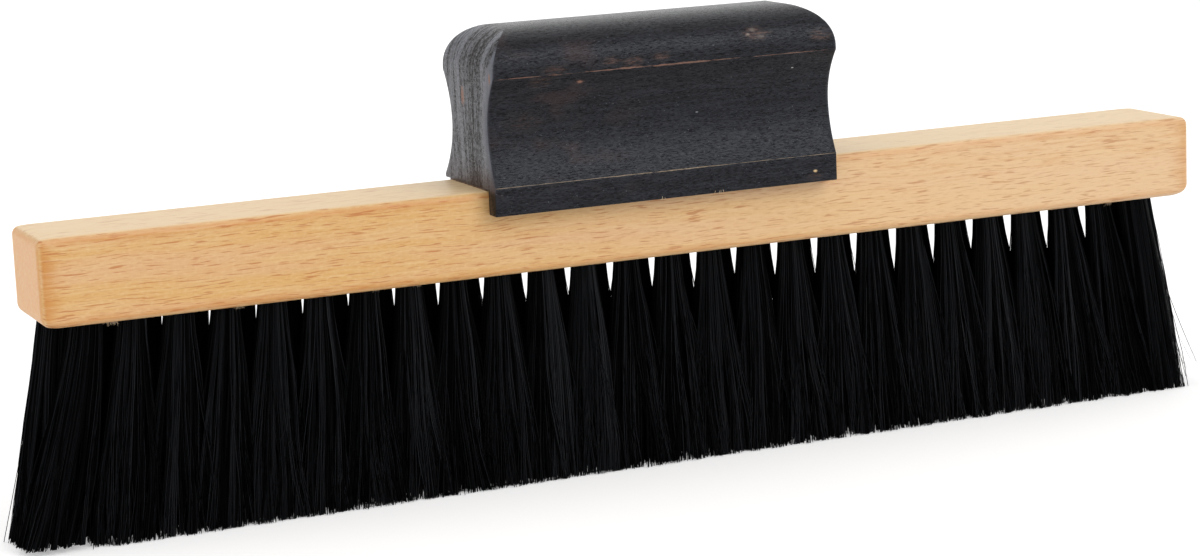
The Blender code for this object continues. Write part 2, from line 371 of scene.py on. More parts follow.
        # The right part's upper half has wavy amber streaks, and rose wood lies below them
        level = add(Kind.TIMES_PLUS, self.upper_rim.noise(tree, along), self.upper_waves, z)
        upper = add(Kind.SOFT_MASK, level, *(self.middle.z + height for height in self.upper_part))
        upper = add(Kind.TIMES, upper, right)
        wood = add(Kind.TINT, add(Kind.TIMES, self.curl.shown(tree, along), upper), wood, self.amber)
        fine = self.grain.noise(tree, along)
        wood = add(Kind.TINT, add(Kind.SOFT_MASK, fine, *self.pale_fleck), wood, self.pale)
        wood = add(Kind.TINT, add(Kind.SOFT_MASK, fine, *self.dark_fleck), wood, self.ray)
        wood = add(Kind.TINT, self.fuzz.shown(tree, place), wood, self.pale)
        # The top is painted paler and with fewer rays: a painted sheen, where light at a low angle
        # washes the face out
        facing = add(Kind.FACING)
        upwards = add(Kind.SPLIT, facing).node.outputs["Z"]
        above = add(Kind.SOFT_MASK, upwards, *self.faces_up)
        wood = add(Kind.TINT, add(Kind.TIMES, above, self.bleached_share), wood, self.bleached)
        # Oil darkened the sides along their edges, but not the roundings between them
        sideways = add(Kind.SPLIT, add(Kind.VECTOR_UNSIGNED, facing)).node.outputs["Y"]
        oiled = add(Kind.TIMES, edge, add(Kind.SPAN, streaks, *self.oil_in_streaks))
        oiled = add(Kind.TIMES, oiled, add(Kind.SOFT_MASK, sideways, *self.faces_out))
        oiled = add(Kind.TIMES, oiled, add(Kind.SPAN, right, *self.oil_rightwards))
        wood = add(Kind.TINT, oiled, wood, self.amber)
        depth = add(Kind.SPAN, right, *self.short_rays_rightwards)
        short_rays = add(Kind.TIMES, self.short_ray.shown(tree, along), depth)
        rays = add(Kind.LARGER, self.long_ray.shown(tree, along), short_rays)
        share = add(Kind.TIMES, rays, add(Kind.SPAN, above, *self.rays_upwards))
        share = add(Kind.TIMES, share, add(Kind.SPAN, right, *self.rays_rightwards))
        tone = add(Kind.TINT, right, self.ray, self.rose_ray)
        return add(Kind.TINT, share, wood, tone), rays

    def end_faces(self, tree: Tree, place: Socket, edge: Socket) -> Socket:
        """Draw the ends: even, pebbly end grain, crossed by a few slanting light scratches.

        Args:
            tree: The material's tree.
            place: Object coordinates in metres.
            edge: The mask of the beam's edges.

        Returns:
            The colour's socket.
        """
        add = partial(add_node, tree)
        wood = add(Kind.TINT, self.pebble.shown(tree, place), self.end_grain, self.pale)
        turned = add(Kind.TURNED, place, (self.sanding_slant, 0.0, 0.0))
        wood = add(Kind.TINT, self.sanding.shown(tree, turned), wood, self.scratch)
        return add(Kind.TINT, add(Kind.TIMES, edge, self.end_amber), wood, self.amber)

    def feeds(self, tree: Tree, place: Socket) -> dict[str, Feed]:
        """Make the nodes that feed the shader.

        Args:
            tree: The material's tree.
            place: Object coordinates in metres.

        Returns:
            A value or a socket by the shader socket's name.
        """
        add = partial(add_node, tree)
        edge = self.edge(tree, place)
        sides, rays = self.long_grain(tree, place, edge)
        endways = add(Kind.SPLIT, add(Kind.VECTOR_UNSIGNED, add(Kind.FACING)))
        end = add(Kind.SOFT_MASK, endways, *self.faces_end)
        pores = self.pore.noise(tree, place)
        height = add(Kind.TIMES_PLUS, rays, -self.ray_dent, pores)
        return {
            "Base Color": add(Kind.TINT, end, sides, self.end_faces(tree, place, edge)),
            "Roughness": add(Kind.SPAN, pores, *self.roughness),
            "IOR": 1.5,
            "Normal": add(Kind.BUMP, height, self.bump_strength, self.bump_depth),
        }


@dataclass(frozen=True)
class BlackStain(Finish):
    """Black water stain on sanded beech, handled and barely waxed.

    Gives the eye a blue-black with fine dark pores and pale specks, a soft sheen where it faces the
    light, bare brown lines on its arrises, a few rubbed spots, and a woolly blue-grey end grain whose
    grey is partly a painted sheen.
    Arrises, rubbed spots, marks and end spots are placed from the middle of the grip's foot.
    """

    origin: Vector
    half_length: float
    waist_height: float
    waist_depth: float
    waist_curve: float
    arrises: tuple
    rubbed: tuple
    marks: tuple
    end_spots: tuple
    name: str = "black stained wood"
    black: str = "#141316"
    charcoal: str = "#222226"
    dark_pore: str = "#0E0E10"
    grey_speck: str = "#6A6D72"
    brown: str = "#3A2A28"
    bare: str = "#947060"
    rust: str = "#8A5C42"
    foot_line: str = "#A08C74"
    # Grey of the end grain, partly a painted sheen
    end_grey: str = "#63656D"
    end_dark: str = "#211C1A"
    end_line: str = "#96979A"
    sheen: str = "#E4E9F4"
    streak: Pattern = Pattern((6.0, 0.8, 0.55), 4.0, 0.6)
    pore: Pattern = Pattern((0.70, 0.18, 0.11), 4.0, 0.75)
    speck: Pattern = Pattern((0.30, 0.20, 0.20), 1.0, low=0.70, high=0.80, top=0.55)
    cloud: Pattern = Pattern((9.0, 9.0, 5.0), 3.0, low=0.50, high=0.68, top=0.55)
    ragged: Pattern = Pattern((3.2, 0.6, 0.5), 5.0, 0.75)
    scuff: Pattern = Pattern((1.3, 0.7, 0.28), 5.0, 0.8)
    end_band: Pattern = Pattern((60.0, 1.1, 16.0), 4.0, 0.65)
    wool: Pattern = Pattern((0.9, 0.46, 0.42), 5.0, 0.72)
    end_sanding: Pattern = Pattern((3.0, 5.0, 0.14), 1.0, low=0.68, high=0.78, top=0.5)
    streaky: tuple = (0.40, 0.66)
    porous: tuple = (0.47, 0.32, 0.8)
    shiny: tuple = (0.34, 0.60)
    faces_up: tuple = (0.75, 0.97)
    faces_end: tuple = (0.12, 0.34)
    cloudy_part: tuple = (0.0, -16 * MM)
    handled_middle: float = 2 * MM
    handled: tuple = (5 * MM, 12 * MM, 1.0, 0.45)
    arris_weights: tuple = (0.0, 1.0, 1.0)
    arris_rim: tuple = (0.34, 0.66)
    arris_share: float = 0.9
    scuffed: tuple = (0.38, 0.72)
    rim_shake: float = 1.8
    spot_rim: tuple = (0.15, -0.75)
    spot_weights: tuple = (0.5, 0.0, 1.0)
    rust_rim: tuple = (0.1, -0.6)
    rust_weights: tuple = (0.0, 1.6, 0.7)
    rust_share: float = 0.8
    end_reach: float = 6.4 * MM
    end_blend: float = 0.8 * MM
    end_banded: tuple = (0.58, 0.40, 0.6)
    woolly: tuple = (0.56, 0.40, 0.50)
    band_waves: float = 2.4 * MM
    heart_front: tuple = (-5.2 * MM, -4.4 * MM)
    heart_back: tuple = (-1.0 * MM, -1.8 * MM)
    heart_dark: float = 0.35
    # Where the painted sheen strip along the ends' front edge starts and is full, and how strong it is
    strip: tuple = (1.3 * MM, 0.3 * MM, 0.75)
    strip_waves: float = 1.6 * MM
    brown_foot: tuple = (5.0 * MM, 0.4 * MM, 0.75)
    black_foot: tuple = (0.5 * MM, -0.4 * MM)
    dulling: tuple = (1.0, 0.05)
    roughness: tuple = (0.25, 0.40)
    crown_polish: float = 0.08
    gloss: tuple = (0.02, 0.33)
    bump_strength: float = 1.0
    bump_depth: float = 0.03 * MM

    def feeds(self, tree: Tree, place: Socket) -> dict[str, Feed]:
        """Make the nodes that feed the shader.

        Args:
            tree: The material's tree.
            place: Object coordinates in metres.

        Returns:
            A value or a socket by the shader socket's name.
        """
        add = partial(add_node, tree)
        here = add(Kind.VECTOR_MINUS, place, self.origin)
        streaks = self.streak.noise(tree, here)
        pores = self.pore.noise(tree, here)
        wood = add(Kind.TINT, add(Kind.SOFT_MASK, streaks, *self.streaky), self.black, self.charcoal)
        wood = add(Kind.TINT, add(Kind.SOFT_MASK, pores, *self.porous), wood, self.dark_pore)
        left = add(Kind.SOFT_MASK, add(Kind.SPLIT, here), *self.cloudy_part)
        wood = add(Kind.TINT, add(Kind.TIMES, self.cloud.shown(tree, here), left), wood, self.brown)
        wood = add(Kind.TINT, self.speck.shown(tree, here), wood, self.grey_speck)
        wood = self.wear(tree, here, wood)
        wood, shine = self.ends(tree, here, wood, add(Kind.SOFT_MASK, pores, *self.shiny))
        # The crown is rubbed a little smoother by the palm
        upwards = add(Kind.SPLIT, add(Kind.FACING)).node.outputs["Z"]
        crown = add(Kind.SOFT_MASK, upwards, *self.faces_up)
        rough = add(Kind.SPAN, streaks, *self.roughness)
        return {
            "Base Color": wood,
            "Roughness": add(Kind.TIMES_PLUS, crown, -self.crown_polish, rough),
            "IOR": 1.5,
            "Specular IOR Level": add(Kind.SPAN, shine, *self.gloss),
            "Specular Tint": self.sheen,
            "Normal": add(Kind.BUMP, pores, self.bump_strength, self.bump_depth),
        }

    def wear(self, tree: Tree, here: Socket, wood: Socket) -> Socket:
        """Rub the stain off the arrises and off a few spots of the front.

        Args:
            tree: The material's tree.
            here: Coordinates from the middle of the grip's foot, in metres.
            wood: The stained colour's socket.

        Returns:
            The worn colour's socket.
        """
        add = partial(add_node, tree)
        ragged = self.ragged.noise(tree, here)
        off_middle = add(Kind.UNSIGNED, add(Kind.PLUS, add(Kind.SPLIT, here), self.handled_middle))
        handled = add(Kind.RANGE, off_middle, *self.handled)
        for depth, height, width, least, tone in self.arrises:
            gap = self.distance(tree, here, (0.0, depth, height), self.arris_weights)
            reach = add(Kind.SOFT_MASK, ragged, *self.arris_rim, width)
            reach = add(Kind.TIMES, add(Kind.PLUS, reach, least * width), handled)
            worn = add(Kind.RANGE, gap, reach, 0.0, 0.0, self.arris_share)
            wood = add(Kind.TINT, worn, wood, tone)
        scuffs = self.scuff.noise(tree, here)
        for x, height, radius, strength in self.rubbed:
            scuffed = add(Kind.SOFT_MASK, scuffs, *self.scuffed, strength)
            spot = self.spot(tree, here, ragged, (x, height, radius))
            wood = add(Kind.TINT, add(Kind.TIMES, spot, scuffed), wood, self.bare)
        for x, height, radius, tone in self.marks:
            wood = add(Kind.TINT, self.spot(tree, here, scuffs, (x, height, radius)), wood, tone)
        return wood

    def distance(self, tree: Tree, here: Socket, point: tuple, weights: tuple) -> Socket:
        """Measure the distance from a point, where a step along X, Y or Z counts by its weight."""
        away = add_node(tree, Kind.VECTOR_MINUS, here, point)
        return add_node(tree, Kind.VECTOR_LENGTH, add_node(tree, Kind.VECTOR_TIMES, away, weights))

    def spot(self, tree: Tree, here: Socket, rim: Socket, where: tuple[float, float, float]) -> Socket:
        """Draw one spot on the grip's front as a mask.

        Args:
            tree: The material's tree.
            here: Coordinates from the middle of the grip's foot, in metres.
            rim: The noise that breaks its rim.
            where: Its place along the beam, its height and its radius.

        Returns:
            The mask's socket.
        """
        add = partial(add_node, tree)
        x, height, radius = where
        gap = self.distance(tree, here, (x, 0.0, height), self.spot_weights)
        shaken = add(Kind.TIMES_PLUS, rim, -self.rim_shake * radius, gap)
        near = add(Kind.SOFT_MASK, shaken, *(bound * radius for bound in self.spot_rim))
        return add(Kind.TIMES, near, add(Kind.BELOW, add(Kind.SPLIT, here).node.outputs["Y"], 0.0))

    def ends(self, tree: Tree, here: Socket, wood: Socket, shine: Socket) -> tuple[Socket, Socket]:
        """Grey the ends, where open grain took the stain up in upright bands; the grey is partly a
        painted sheen.

        Args:
            tree: The material's tree.
            here: Coordinates from the middle of the grip's foot, in metres.
            wood: The long grain's colour.
            shine: The long grain's share of shine.

        Returns:
            The colour's and the shine's sockets with the ends dressed.
        """
        add = partial(add_node, tree)
        x, y, z = add(Kind.SPLIT, here).node.outputs
        endways = add(Kind.SPLIT, add(Kind.VECTOR_UNSIGNED, add(Kind.FACING)))
        start = self.half_length - self.end_reach
        near = add(Kind.SOFT_MASK, add(Kind.UNSIGNED, x), start, start + self.end_blend)
        end = add(Kind.TIMES, add(Kind.SOFT_MASK, endways, *self.faces_end), near)
        bands = self.end_band.noise(tree, here)
        woolly = self.wool.noise(tree, here)
        wavy = add(Kind.TIMES_PLUS, bands, self.band_waves, y)
        front, back = (add(Kind.SOFT_MASK, wavy, *rim) for rim in (self.heart_front, self.heart_back))
        heart = add(Kind.TIMES, front, back)
        # The dark shares of band, heart and wool add up, and dull the shine where they lie
        dark = add(Kind.SOFT_MASK, bands, *self.end_banded)
        dark = add(Kind.TIMES_PLUS, heart, self.heart_dark, dark)
        dark = add(Kind.PLUS, dark, add(Kind.SOFT_MASK, woolly, *self.woolly), use_clamp=True)
        # Along the curved front edge a strip is painted lighter, a painted sheen, and the sanded edge
        # there keeps more of its shine
        up = add(Kind.MINUS, z, self.waist_height)
        inset = add(Kind.TIMES_PLUS, add(Kind.TIMES, up, up), self.waist_curve, y)
        inset = add(Kind.PLUS, inset, self.waist_depth)
        inset = add(Kind.TIMES_PLUS, woolly, -self.strip_waves, inset)
        strip = add(Kind.SOFT_MASK, inset, *self.strip)
        dark = add(Kind.TIMES, dark, add(Kind.MINUS, 1.0, strip))
        # The ends' grey is partly a painted sheen
        grey = add(Kind.TINT, dark, self.end_grey, self.end_dark)
        grey = add(Kind.TINT, self.end_sanding.shown(tree, here), grey, self.end_line)
        for depth, height, radius in self.end_spots:
            gap = self.distance(tree, here, (0.0, depth, height), self.rust_weights)
            shaken = add(Kind.TIMES_PLUS, woolly, -self.rim_shake * radius, gap)
            bounds = (bound * radius for bound in self.rust_rim)
            rusty = add(Kind.SOFT_MASK, shaken, *bounds, self.rust_share)
            grey = add(Kind.TINT, rusty, grey, self.rust)
        # The foot is browner, and black again at the joint
        grey = add(Kind.TINT, add(Kind.SOFT_MASK, z, *self.brown_foot), grey, self.brown)
        grey = add(Kind.TINT, add(Kind.SOFT_MASK, z, *self.black_foot), grey, self.black)
        dull = add(Kind.SPAN, dark, *self.dulling)
        return add(Kind.TINT, end, wood, grey), add(Kind.BLEND, end, shine, dull)


@dataclass(frozen=True)
class GoatHair(Finish):
    """Dyed goat hair: smooth round hairs with a soft lengthwise shine.

    Gives the eye a near black that turns blue-grey where a lock catches the light. The attribute
    tone tells the hairs apart, and carries a painted shade on the hairs that face the other row.
    tone tells the hairs apart.
    """

    name: str = "black goat hair"
    deep: str = "#030304"
    soft: str = "#131416"
    shine: str = "#E6EAF4"
    tones: tuple = (0.25, 0.95)
    roughness: tuple = (0.34, 0.46)
    gloss: tuple = (0.03, 0.34)

    def feeds(self, tree: Tree, place: Socket) -> dict[str, Feed]:
        """Make the nodes that feed the shader.

        Args:
            tree: The material's tree.
            place: Object coordinates in metres, which hair has no use for.

        Returns:
            A value or a socket by the shader socket's name.
        """
        add = partial(add_node, tree)
        # The stored tone, with its painted shade on the hairs that face the other row, sets the colour
        # and the gloss
        light = add(Kind.SOFT_MASK, add(Kind.HAIR_TONE), *self.tones)
        return {
            "Base Color": add(Kind.TINT, light, self.deep, self.soft),
            "Roughness": add(Kind.SPAN, light, *self.roughness),
            "IOR": 1.45,
            "Specular IOR Level": add(Kind.SPAN, light, *self.gloss),
            "Specular Tint": self.shine,
        }


@dataclass(frozen=True)
class TornFibre(Finish):
    """Raw beech fibre that the drill tore out.

    Gives the eye dry, matt straw that is paler than the oiled wood round it.
    """

    name: str = "torn beech fibre"
    pale: str = "#DDCFB6"
    dark: str = "#9A8466"
    fray_length: float = 0.4 * MM
    fray_detail: float = 3.0

    def feeds(self, tree: Tree, place: Socket) -> dict[str, Feed]:
        """Make the nodes that feed the shader.

        Args:
            tree: The material's tree.
            place: Object coordinates in metres.

        Returns:
            A value or a socket by the shader socket's name.
        """
        fray = add_node(tree, Kind.NOISE, place, 1 / self.fray_length, self.fray_detail)
        fibre = add_node(tree, Kind.TINT, fray, self.dark, self.pale)
        return {"Base Color": fibre, "Roughness": 0.9, "IOR": 1.5}


@dataclass(frozen=True)
class HideGlue(Finish):
    """Dried hide glue in the joint.

    Gives the eye a thin, dark amber line under the grip, a little glossy and uneven in tone.
    """

    name: str = "dried hide glue"
    thick: str = "#2A1A12"
    thin: str = "#6B4423"
    flow_length: float = 2.5 * MM
    flow_detail: float = 3.0
    roughness: tuple = (0.2, 0.5)

    def feeds(self, tree: Tree, place: Socket) -> dict[str, Feed]:
        """Make the nodes that feed the shader.

        Args:
            tree: The material's tree.
            place: Object coordinates in metres.

        Returns:
            A value or a socket by the shader socket's name.
        """
        flow = add_node(tree, Kind.NOISE, place, 1 / self.flow_length, self.flow_detail)
        glue = add_node(tree, Kind.TINT, flow, self.thick, self.thin)
        rough = add_node(tree, Kind.SPAN, flow, *self.roughness)
        return {"Base Color": glue, "Roughness": rough, "IOR": 1.5}


def new_piece(name: str, mesh: Mesh, material: Material, slot: Slot | None = None) -> bpy.types.Object:
    """Put a finished mesh in the scene as a piece that rides on the brush.

    Args:
        name: The piece's name.
        mesh: Its mesh, in place.
        material: Its finish.
        slot: The record's slot that matches its finish; not used.

    Returns:
        The piece's object.
    """
    mesh.materials.clear()
    mesh.materials.append(material)
    piece = hold(name, mesh)
    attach(piece, ROOT)
    return piece


def finished_mesh(holder: bpy.types.Object) -> Mesh:
    """Turn an object with its modifiers to a plain mesh, and remove the object.

    Args:
        holder: The object.

    Returns:
        The plain mesh.
    """
    graph = bpy.context.evaluated_depsgraph_get()
    mesh = bpy.data.meshes.new_from_object(holder.evaluated_get(graph))
    bpy.data.objects.remove(holder, do_unlink=True)
    return mesh


def hold(name: str, mesh: Mesh) -> bpy.types.Object:
    """Put a mesh in the scene as an object.

    Args:
        name: The object's name.
        mesh: Its mesh.

    Returns:
        The object.
    """
    holder = bpy.data.objects.new(name, mesh)
    bpy.context.scene.collection.objects.link(holder)
    return holder


def mesh_of(name: str, bm: bmesh.types.BMesh) -> Mesh:
    """Turn a bmesh to a mesh and free it.

    Args:
        name: The mesh's name.
        bm: The bmesh.

    Returns:
        The mesh.
    """
    mesh = bpy.data.meshes.new(name)
    bm.to_mesh(mesh)
    bm.free()
    return mesh


def add_sheet(bm: bmesh.types.BMesh, rows: list[list[Vector]]) -> None:
    """Add a sheet of quads through rows of points.

    Args:
        bm: The bmesh that takes it.
        rows: Rows of equally many points.
    """
    grid = [[bm.verts.new(point) for point in row] for row in rows]
    for lower, upper in zip(grid, grid[1:]):
        for left in range(len(lower) - 1):
            bm.faces.new((lower[left], lower[left + 1], upper[left + 1], upper[left]))


def new_tree(name: str, inputs: dict[str, str]) -> tuple[Tree, bpy.types.bpy_prop_collection]:
    """Start a Geometry Nodes tree with named inputs.

    Args:
        name: The tree's name.
        inputs: Each input's socket type by its name.

    Returns:
        The tree and its input node's sockets by name.
    """
    tree = bpy.data.node_groups.new(name, "GeometryNodeTree")
    tree.interface.new_socket("Geometry", in_out="INPUT", socket_type="NodeSocketGeometry")
    for title, socket_type in inputs.items():
        tree.interface.new_socket(title, in_out="INPUT", socket_type=socket_type)
    tree.interface.new_socket("Geometry", in_out="OUTPUT", socket_type="NodeSocketGeometry")
    return tree, add_node(tree, Kind.GIVEN).node.outputs


def close_tree(tree: Tree, geometry: Socket, material: Socket) -> None:
    """End a tree in realised instances with their material.

    Args:
        tree: The Geometry Nodes tree.
        geometry: The socket of what it made.
        material: The socket that holds the finish.
    """
    real = add_node(tree, Kind.REALIZE, geometry)
    dressed = add_node(tree, Kind.DRESS, real, material)
    tree.links.new(dressed, tree.nodes.new("NodeGroupOutput").inputs[0])


def run_tree(name: str, tree: Tree, base: Mesh, values: dict[str, Feed]) -> Mesh:
    """Run a tree on a mesh and return what it makes as a plain mesh.

    Args:
        name: A name for the result.
        tree: The Geometry Nodes tree.
        base: The mesh that it starts from.
        values: Its inputs by name.

    Returns:
        The plain mesh.
    """
    holder = hold(name, base)
    modifier = holder.modifiers.new("made by rule", "NODES")
    modifier.node_group = tree
    for item in tree.interface.items_tree:
        if item.name in values and item.in_out == "INPUT":
            modifier[item.identifier] = values[item.name]
    return finished_mesh(holder)


@dataclass
class Beam:
    """The beech bar, with its softened edges and its two rows of blind holes."""

    length: float = 185.6 * MM
    depth: float = 15.56 * MM
    height: float = 12.58 * MM
    bottom: float = 31.8 * MM
    middle_y: float = 1.3 * MM
    edge_radius: float = 1.0 * MM
    end_reach: float = 3.1 * MM
    end_top_drops: tuple = (0.35 * MM, 0.55 * MM)
    end_bottom_rises: tuple = (0.80 * MM, 1.45 * MM)
    hole_radius: float = 2.3 * MM
    hole_depth: float = 7.2 * MM
    drill_lead: float = 1.0 * MM
    edge_steps: int = 12
    hole_sides: int = 28
    sharp_angle: float = math.radians(32)

    @property
    def top(self) -> float:
        """Height of the beam's top face."""
        return self.bottom + self.height

    @property
    def middle(self) -> Vector:
        """The middle of the bar."""
        return Vector((0, self.middle_y, self.bottom + self.height / 2))

    @property
    def half(self) -> Vector:
        """Half of the bar's size."""
        return Vector((self.length, self.depth, self.height)) / 2

    def soften(self, point: Vector) -> Vector:
        """Round the bar's ends off a little more than its edges, most of all below.

        Args:
            point: A point of the bar, from its middle.

        Returns:
            The point where hand sanding leaves it.
        """
        into = (abs(point.x) - (self.half.x - self.end_reach)) / self.end_reach
        if into <= 0:
            return point
        drop = 1 - math.sqrt(max(0.0, 1 - into**2))
        share = point.z / self.half.z
        scale = (self.end_top_drops if share > 0 else self.end_bottom_rises)[point.x > 0]
        return point - Vector((0, 0, share * scale * drop))

    def bar(self) -> Mesh:
        """Make the bar with soft edges and no holes.

        Returns:
            Its mesh, in place.
        """
        bm = bmesh.new()
        bmesh.ops.create_cube(bm, size=2.0)
        bmesh.ops.scale(bm, verts=bm.verts, vec=self.half)
        steps = {"segments": self.edge_steps, "profile": 0.5, "affect": "EDGES"}
        bmesh.ops.bevel(bm, geom=bm.edges[:], offset=self.edge_radius, **steps)
        # Cuts near the ends give the rounding its steps
        for side in (-1, 1):
            for step in range(1, self.edge_steps + 1):
                reach = self.end_reach * step / self.edge_steps
                if reach > self.edge_radius:
                    cut = side * (self.half.x - reach)
                    everything = bm.verts[:] + bm.edges[:] + bm.faces[:]
                    bmesh.ops.bisect_plane(bm, geom=everything, plane_co=(cut, 0, 0), plane_no=(1, 0, 0))
        for vert in bm.verts:
            vert.co = self.soften(vert.co) + self.middle
        return mesh_of("bar", bm)

    def holes(self, places: list["TuftPlace"]) -> Mesh:
        """Make the drill's holes as one cutter, each along its tuft.

        Args:
            places: Where the tufts' holes are.

        Returns:
            The cutter's mesh, in place.
        """
        bm = bmesh.new()
        run = self.hole_depth + self.drill_lead
        lift = Matrix.Translation((0, 0, (self.hole_depth - self.drill_lead) / 2))
        for place in places:
            turn = Vector((0, 0, 1)).rotation_difference(-place.lean.normalized()).to_matrix().to_4x4()
            bmesh.ops.create_cone(
                bm,
                cap_ends=True,
                segments=self.hole_sides,
                radius1=self.hole_radius,
                radius2=self.hole_radius,
                depth=run,
                matrix=Matrix.Translation(place.mouth) @ turn @ lift,
            )
        return mesh_of("holes", bm)

    def build(self, places: list["TuftPlace"]) -> None:
        """Build and dress the beam.

        Args:
            places: Where the tufts' holes are.
        """
        cutter = hold("drill", self.holes(places))
        bar = hold("bar", self.bar())
        drill = bar.modifiers.new("drilled holes", "BOOLEAN")
        drill.operation = "DIFFERENCE"
        drill.solver = "EXACT"
        drill.object = cutter
        drilled = finished_mesh(bar)
        bpy.data.objects.remove(cutter, do_unlink=True)
        drilled.shade_smooth()
        drilled.set_sharp_from_angle(angle=self.sharp_angle)
        bar = hold("bar", drilled)
        flat = bar.modifiers.new("flat faces stay flat", "WEIGHTED_NORMAL")
        flat.keep_sharp = True
        beech = OiledBeech(middle=self.middle, half=self.half).material()
        piece = new_piece("beech_beam", finished_mesh(bar), beech, Slot.BEECH)
        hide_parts("beam")
        log.info("beech_beam: %d faces", len(piece.data.polygons))


@dataclass
class Grip:
    """The moulded grip, sized as depths from the beam's middle and heights from its top.

    The tables of its wear are in millimetres: a place along the beam, a height and a radius, each
    time with the wear's strength or its colour.
    """

    beam: Beam
    length: float = 55.1 * MM
    shift: float = 0.4 * MM
    foot_front: float = 10.75 * MM
    foot_back: float = 9.05 * MM
    waist_front: float = 8.63 * MM
    waist_back: float = 5.25 * MM
    bulge_front: float = 11.65 * MM
    bulge_back: float = 8.00 * MM
    lip_drop: float = 3.40 * MM
    arris_height: float = 0.70 * MM
    waist_height: float = 8.90 * MM
    bulge_height: float = 16.35 * MM
    top_height: float = 23.20 * MM
    end_radius: float = 6.30 * MM
    dome_fullness: float = 2.7
    joint: float = 0.15 * MM
    lip_gap: float = 0.30 * MM
    edge_radius: float = 0.16 * MM
    edge_angle: float = math.radians(28)
    sharp_angle: float = math.radians(40)
    cove_steps: int = 16
    dome_steps: int = 32
    lip_steps: int = 4
    columns: int = 16
    stations: int = 50
    glue_front_inset: float = 0.9 * MM
    glue_back_inset: float = 0.6 * MM
    glue_overlap: float = 0.01 * MM
    glue_steps: int = 24
    glue_waves: float = 0.006
    glue_seed: int = 11
    rubbed: tuple = (
        (-17.8, 16.9, 1.3, 0.26),
        (-20.0, 15.4, 1.2, 0.22),
        (-13.6, 14.9, 0.5, 0.55),
        (-9.0, 17.6, 0.9, 0.30),
        (-5.5, 17.2, 1.0, 0.40),
        (-1.0, 17.6, 0.9, 0.36),
        (-22.0, 9.6, 2.0, 0.12),
        (14.5, 19.6, 1.3, 0.50),
        (25.2, 18.7, 1.2, 0.36),
        (23.9, -2.6, 0.9, 0.18),
    )
    marks: tuple = (
        (23.9, -1.7, 0.24, "#E0C090"),
        (20.9, 14.0, 0.12, "#A8A6A4"),
        (14.1, 20.2, 0.34, "#645A53"),
        (15.2, 19.2, 0.38, "#5C5450"),
        (13.2, 19.6, 0.22, "#7A6E64"),
        (-13.6, 14.9, 0.26, "#8A6452"),
        (4.9, 8.1, 0.30, "#050506"),
        (5.3, 8.4, 0.24, "#050506"),
        (5.7, 8.6, 0.14, "#7C7E82"),
    )

    def rows(self) -> list[tuple[float, float, float]]:
        """Draw the section, from the joint to the crown.

        Returns:
            The front depth, back depth and height of each level.
        """
        levels = [(-self.foot_front, self.foot_back, self.joint)]
        waist = (self.waist_front, self.waist_back, self.waist_height)
        foot = (self.foot_front, self.foot_back, self.arris_height)
        bulge = (self.bulge_front, self.bulge_back, self.bulge_height)
        shares = [step / self.cove_steps for step in range(self.cove_steps)]
        # Each flank is a hollow: a parabola from the waist down to the foot and up to the bulge
        for end, run in ((foot, [1 - share for share in shares]), (bulge, shares)):
            for share in run:
                front, back = (near + (far - near) * share**2 for near, far in zip(waist[:2], end[:2]))
                levels.append((-front, back, waist[2] + (end[2] - waist[2]) * share))
        middle = (self.bulge_back - self.bulge_front) / 2
        half = (self.bulge_back + self.bulge_front) / 2
        for step in range(self.dome_steps + 1):
            angle = math.pi / 2 * step / self.dome_steps
            across = half * max(0.0, math.cos(angle)) ** (2 / self.dome_fullness)
            rise = math.sin(angle) ** (2 / self.dome_fullness)
            height = self.bulge_height + (self.top_height - self.bulge_height) * rise
            levels.append((middle - across, middle + across, height))
        return levels

    def reach(self, height: float) -> float:
        """Measure the grip's half length: its upper ends are rounded.

        Args:
            height: The height above the beam's top.

        Returns:
            Half of the length there.
        """
        over = height - (self.top_height - self.end_radius)
        if over <= 0:
            return self.length / 2
        return self.length / 2 - self.end_radius + math.sqrt(max(0.0, self.end_radius**2 - over**2))

    def point(self, share: float, depth: float, height: float) -> Vector:
        """Place a point of the skin by its share of the half length, its depth and its height."""
        x = self.shift + share * self.reach(height)
        return Vector((x, self.beam.middle_y + depth, self.beam.top + height))

    def columns_at(self, front: float, back: float) -> list[float]:
        """Divide a level in columns. The second one is the rabbet's wall at the joint.

        Args:
            front: The level's front depth.
            back: The level's back depth.

        Returns:
            The columns' depths.
        """
        lip = self.foot_front - self.beam.depth / 2 - self.lip_gap
        wall = lip / (self.foot_front + self.foot_back)
        shares = [0.0] + [wall + (1 - wall) * step / self.columns for step in range(self.columns + 1)]
        return [front + (back - front) * share for share in shares]

    def skin(self) -> Mesh:
        """Make the grip's closed skin.

        Returns:
            Its mesh, in place.
        """
        bm = bmesh.new()
        rows = self.rows()
        rise = (self.lip_drop + self.joint) / self.lip_steps
        lip = [-self.lip_drop + rise * step for step in range(self.lip_steps + 1)]
        wall = -(self.beam.depth / 2 + self.lip_gap)
        foot = self.columns_at(-self.foot_front, self.foot_back)
        loop = [(-self.foot_front, height) for height in lip[:-1]]
        loop += [(front, height) for front, _, height in rows]
        loop += [(back, height) for _, back, height in rows[-2::-1]]
        loop += [(depth, self.joint) for depth in foot[-2:0:-1]]
        loop += [(wall, height) for height in lip[-2::-1]]
        loop.append(loop[0])
        stations = [2 * step / self.stations - 1 for step in range(self.stations + 1)]
        add_sheet(bm, [[self.point(share, *place) for place in loop] for share in stations])
        for side in (-1, 1):
            levels = [(self.columns_at(front, back), height) for front, back, height in rows]
            lip_levels = [(foot[:2], height) for height in lip]
            for cap in (levels, lip_levels):
                sheet = [[self.point(side, depth, z) for depth in depths] for depths, z in cap]
                add_sheet(bm, sheet)
        bmesh.ops.remove_doubles(bm, verts=bm.verts, dist=WELD)
        bmesh.ops.dissolve_degenerate(bm, edges=bm.edges, dist=WELD)
        bmesh.ops.recalc_face_normals(bm, faces=bm.faces)
        return mesh_of("grip_skin", bm)

